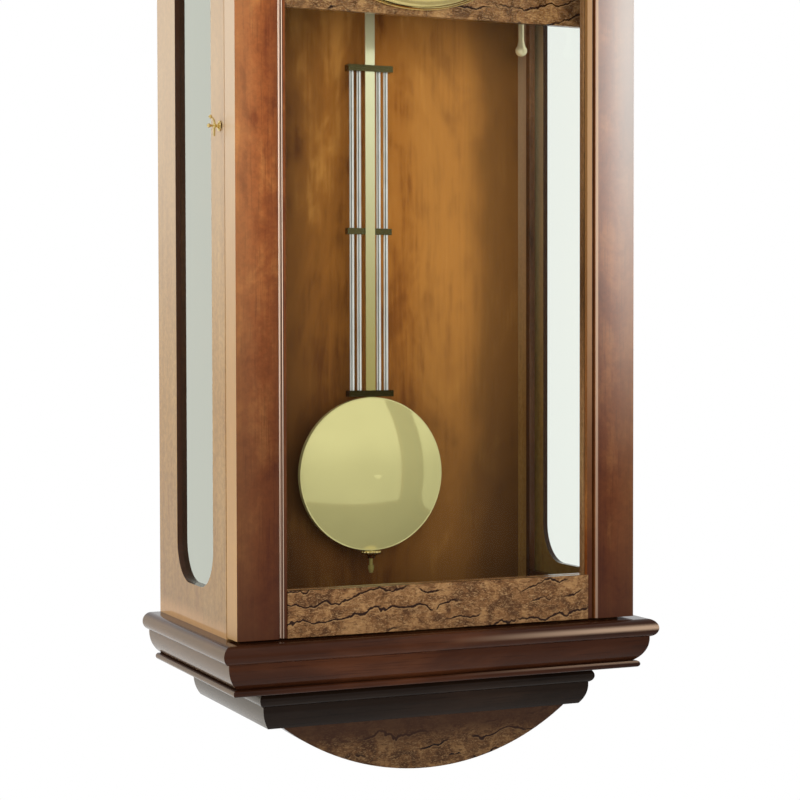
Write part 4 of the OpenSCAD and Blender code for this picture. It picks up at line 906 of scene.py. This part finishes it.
inner, outer = dialLook["trackIn"], dialLook["trackOut"]
for minute in range(60):
    wide = dialLook["hourMark"] if minute % 5 == 0 else dialLook["minuteMark"]
    inked([(-wide, inner), (wide, inner), (wide, outer), (-wide, outer)], minute * math.pi / 30,
          dialLook["trackInk"])
half, foot, top = dialLook["lineWidth"] / 2, dialLook["sunk"], dialLook["ink"]
section = [(-half, foot), (half, foot), (half, top), (-half, top)]
for radius in (inner, outer):
    skin(ink, [[onDial(0, radius + out, 2 * math.pi * k / dialLook["steps"], h) for out, h in section]
               for k in range(dialLook["steps"])], True)
for hour, numeral in enumerate(hours):
    start = -sum(letters[c][0] for c in numeral) / 2
    for c in numeral:
        width, strokes = letters[c]
        for k, stroke in enumerate(strokes):
            inked([(start + width / 2 + a, dialLook["numeralFoot"] + u * dialLook["numeralTall"])
                   for a, u in stroke], hour * math.pi / 6, dialLook["ink"] - dialLook["strokeStep"] * k)
        start += width
place("dial_hours_and_minutes", ink, "case", paintFinishes["handBlack"], "hand_black")
print("detailed pieces built")

camera = {
    "place": (-0.6094, -1.4996, -0.4772),
    "yaw": 23.6255,         # degrees from straight at the clock
    "down": 1.7126,
    "roll": -0.115,
    "lens": 89.0,
    "film": 36,             # width of the picture on it, in millimetres as the lens is
}
yaw, down = math.radians(camera["yaw"]), math.radians(camera["down"])
ahead = Vector((math.sin(yaw) * math.cos(down), math.cos(yaw) * math.cos(down), -math.sin(down)))
cameraData = bpy.data.cameras.new("camera")
cameraData.lens = camera["lens"]
cameraData.sensor_width = camera["film"]
cameraObject = bpy.data.objects.new("camera", cameraData)
bpy.context.scene.collection.objects.link(cameraObject)
cameraObject.rotation_mode = "QUATERNION"
cameraObject.rotation_quaternion = (ahead.to_track_quat("-Z", "Y")
                                    @ Quaternion((0, 0, 1), math.radians(camera["roll"])))
cameraObject.location = camera["place"]
bpy.context.scene.camera = cameraObject

# soft boxes, seen neither by the camera nor in reflections
lamps = {
    "frontBox": {"place": (-0.45, -2.3, -0.2), "aim": (0.0, 0.0, -0.3), "size": (1.5, 1.2), "watts": 46},
    "rearLeftBox": {"place": (-1.75, 1.2, 0.05), "aim": (-0.15, -0.05, -0.3), "size": (3.0, 2.4),
                    "watts": 40},
    "sideBox": {"place": (2.0, 0.2, 0.3), "aim": (0.1, -0.05, -0.3), "size": (1.4, 1.4), "watts": 12},
    "topBox": {"place": (0.1, -0.9, 1.9), "aim": (0.0, 0.0, -0.3), "size": (1.4, 1.0), "watts": 14},
}
for name, box in lamps.items():
    lamp = bpy.data.lights.new(name, "AREA")
    lamp.shape = "RECTANGLE"
    lamp.size, lamp.size_y = box["size"]
    lamp.energy = box["watts"]
    lampObject = bpy.data.objects.new(name, lamp)
    bpy.context.scene.collection.objects.link(lampObject)
    lampObject.location = box["place"]
    beam = Vector(box["aim"]) - Vector(box["place"])
    lampObject.rotation_euler = beam.to_track_quat("-Z", "Y").to_euler()
    lampObject.visible_camera = False
    lampObject.visible_glossy = False

# the room: white where the camera, glass and metal see it behind the clock, softer in front of it
room = {
    "ambient": 0.3,
    "frontLow": 0.56,           # in front of the clock, level with it
    "frontHigh": 0.95,          # and higher up
    "frontRise": (0.0, 0.3),
    "behind": 1.0,
    "behindRise": (-0.3, 0.2),
}
world = bpy.data.worlds.new("studio")
bpy.context.scene.world = world
world.use_nodes = True
air = world.node_tree
background = air.nodes["Background"]
background.inputs["Color"].default_value = (1, 1, 1, 1)


# from low to high as share goes from start to end
def blended(low, high, share, start=0.0, end=1.0):
    node = air.nodes.new("ShaderNodeMapRange")
    for socket, v in zip(node.inputs, (share, start, end, low, high)):
        if isinstance(v, bpy.types.NodeSocket):
            air.links.new(v, socket)
        else:
            socket.default_value = v
    return node.outputs[0]


rays = air.nodes.new("ShaderNodeLightPath").outputs
heading = air.nodes.new("ShaderNodeSeparateXYZ")
air.links.new(air.nodes.new("ShaderNodeTexCoord").outputs["Generated"], heading.inputs[0])
mirrorShare = air.nodes.new("ShaderNodeMath")
mirrorShare.operation = "MAXIMUM"
air.links.new(rays["Is Glossy Ray"], mirrorShare.inputs[0])
air.links.new(rays["Is Transmission Ray"], mirrorShare.inputs[1])
inFront = blended(room["frontLow"], room["frontHigh"], heading.outputs["Z"], *room["frontRise"])
mirrored = blended(inFront, room["behind"], heading.outputs["Y"], *room["behindRise"])
level = blended(room["ambient"], mirrored, mirrorShare.outputs[0])
level = blended(level, 1.0, rays["Is Camera Ray"])
air.links.new(level, background.inputs["Strength"])

floor = {
    "drop": 0.75,               # how far it lies under the clock
    "radius": 1.9,
    "sides": 96,
    "middle": (0, -0.1),
    "paint": dict(mattPaint, low=tone(236, 236, 234), high=tone(242, 242, 240), rough=0.7,
                  grain=(6, 4, 0.6), bump=0.02),
}
disc = bmesh.new()
bmesh.ops.create_circle(disc, cap_ends=True, radius=floor["radius"], segments=floor["sides"])
floorMesh = bpy.data.meshes.new("floor")
disc.to_mesh(floorMesh)
disc.free()
floorObject = bpy.data.objects.new("floor", floorMesh)
floorObject.location = (*floor["middle"], cadBox[0].z - floor["drop"])
bpy.context.scene.collection.objects.link(floorObject)
floorMesh.materials.append(paint("floorPaint", floor["paint"]))
bpy.context.scene.view_settings.view_transform = "Standard"
print("camera, light and floor set")
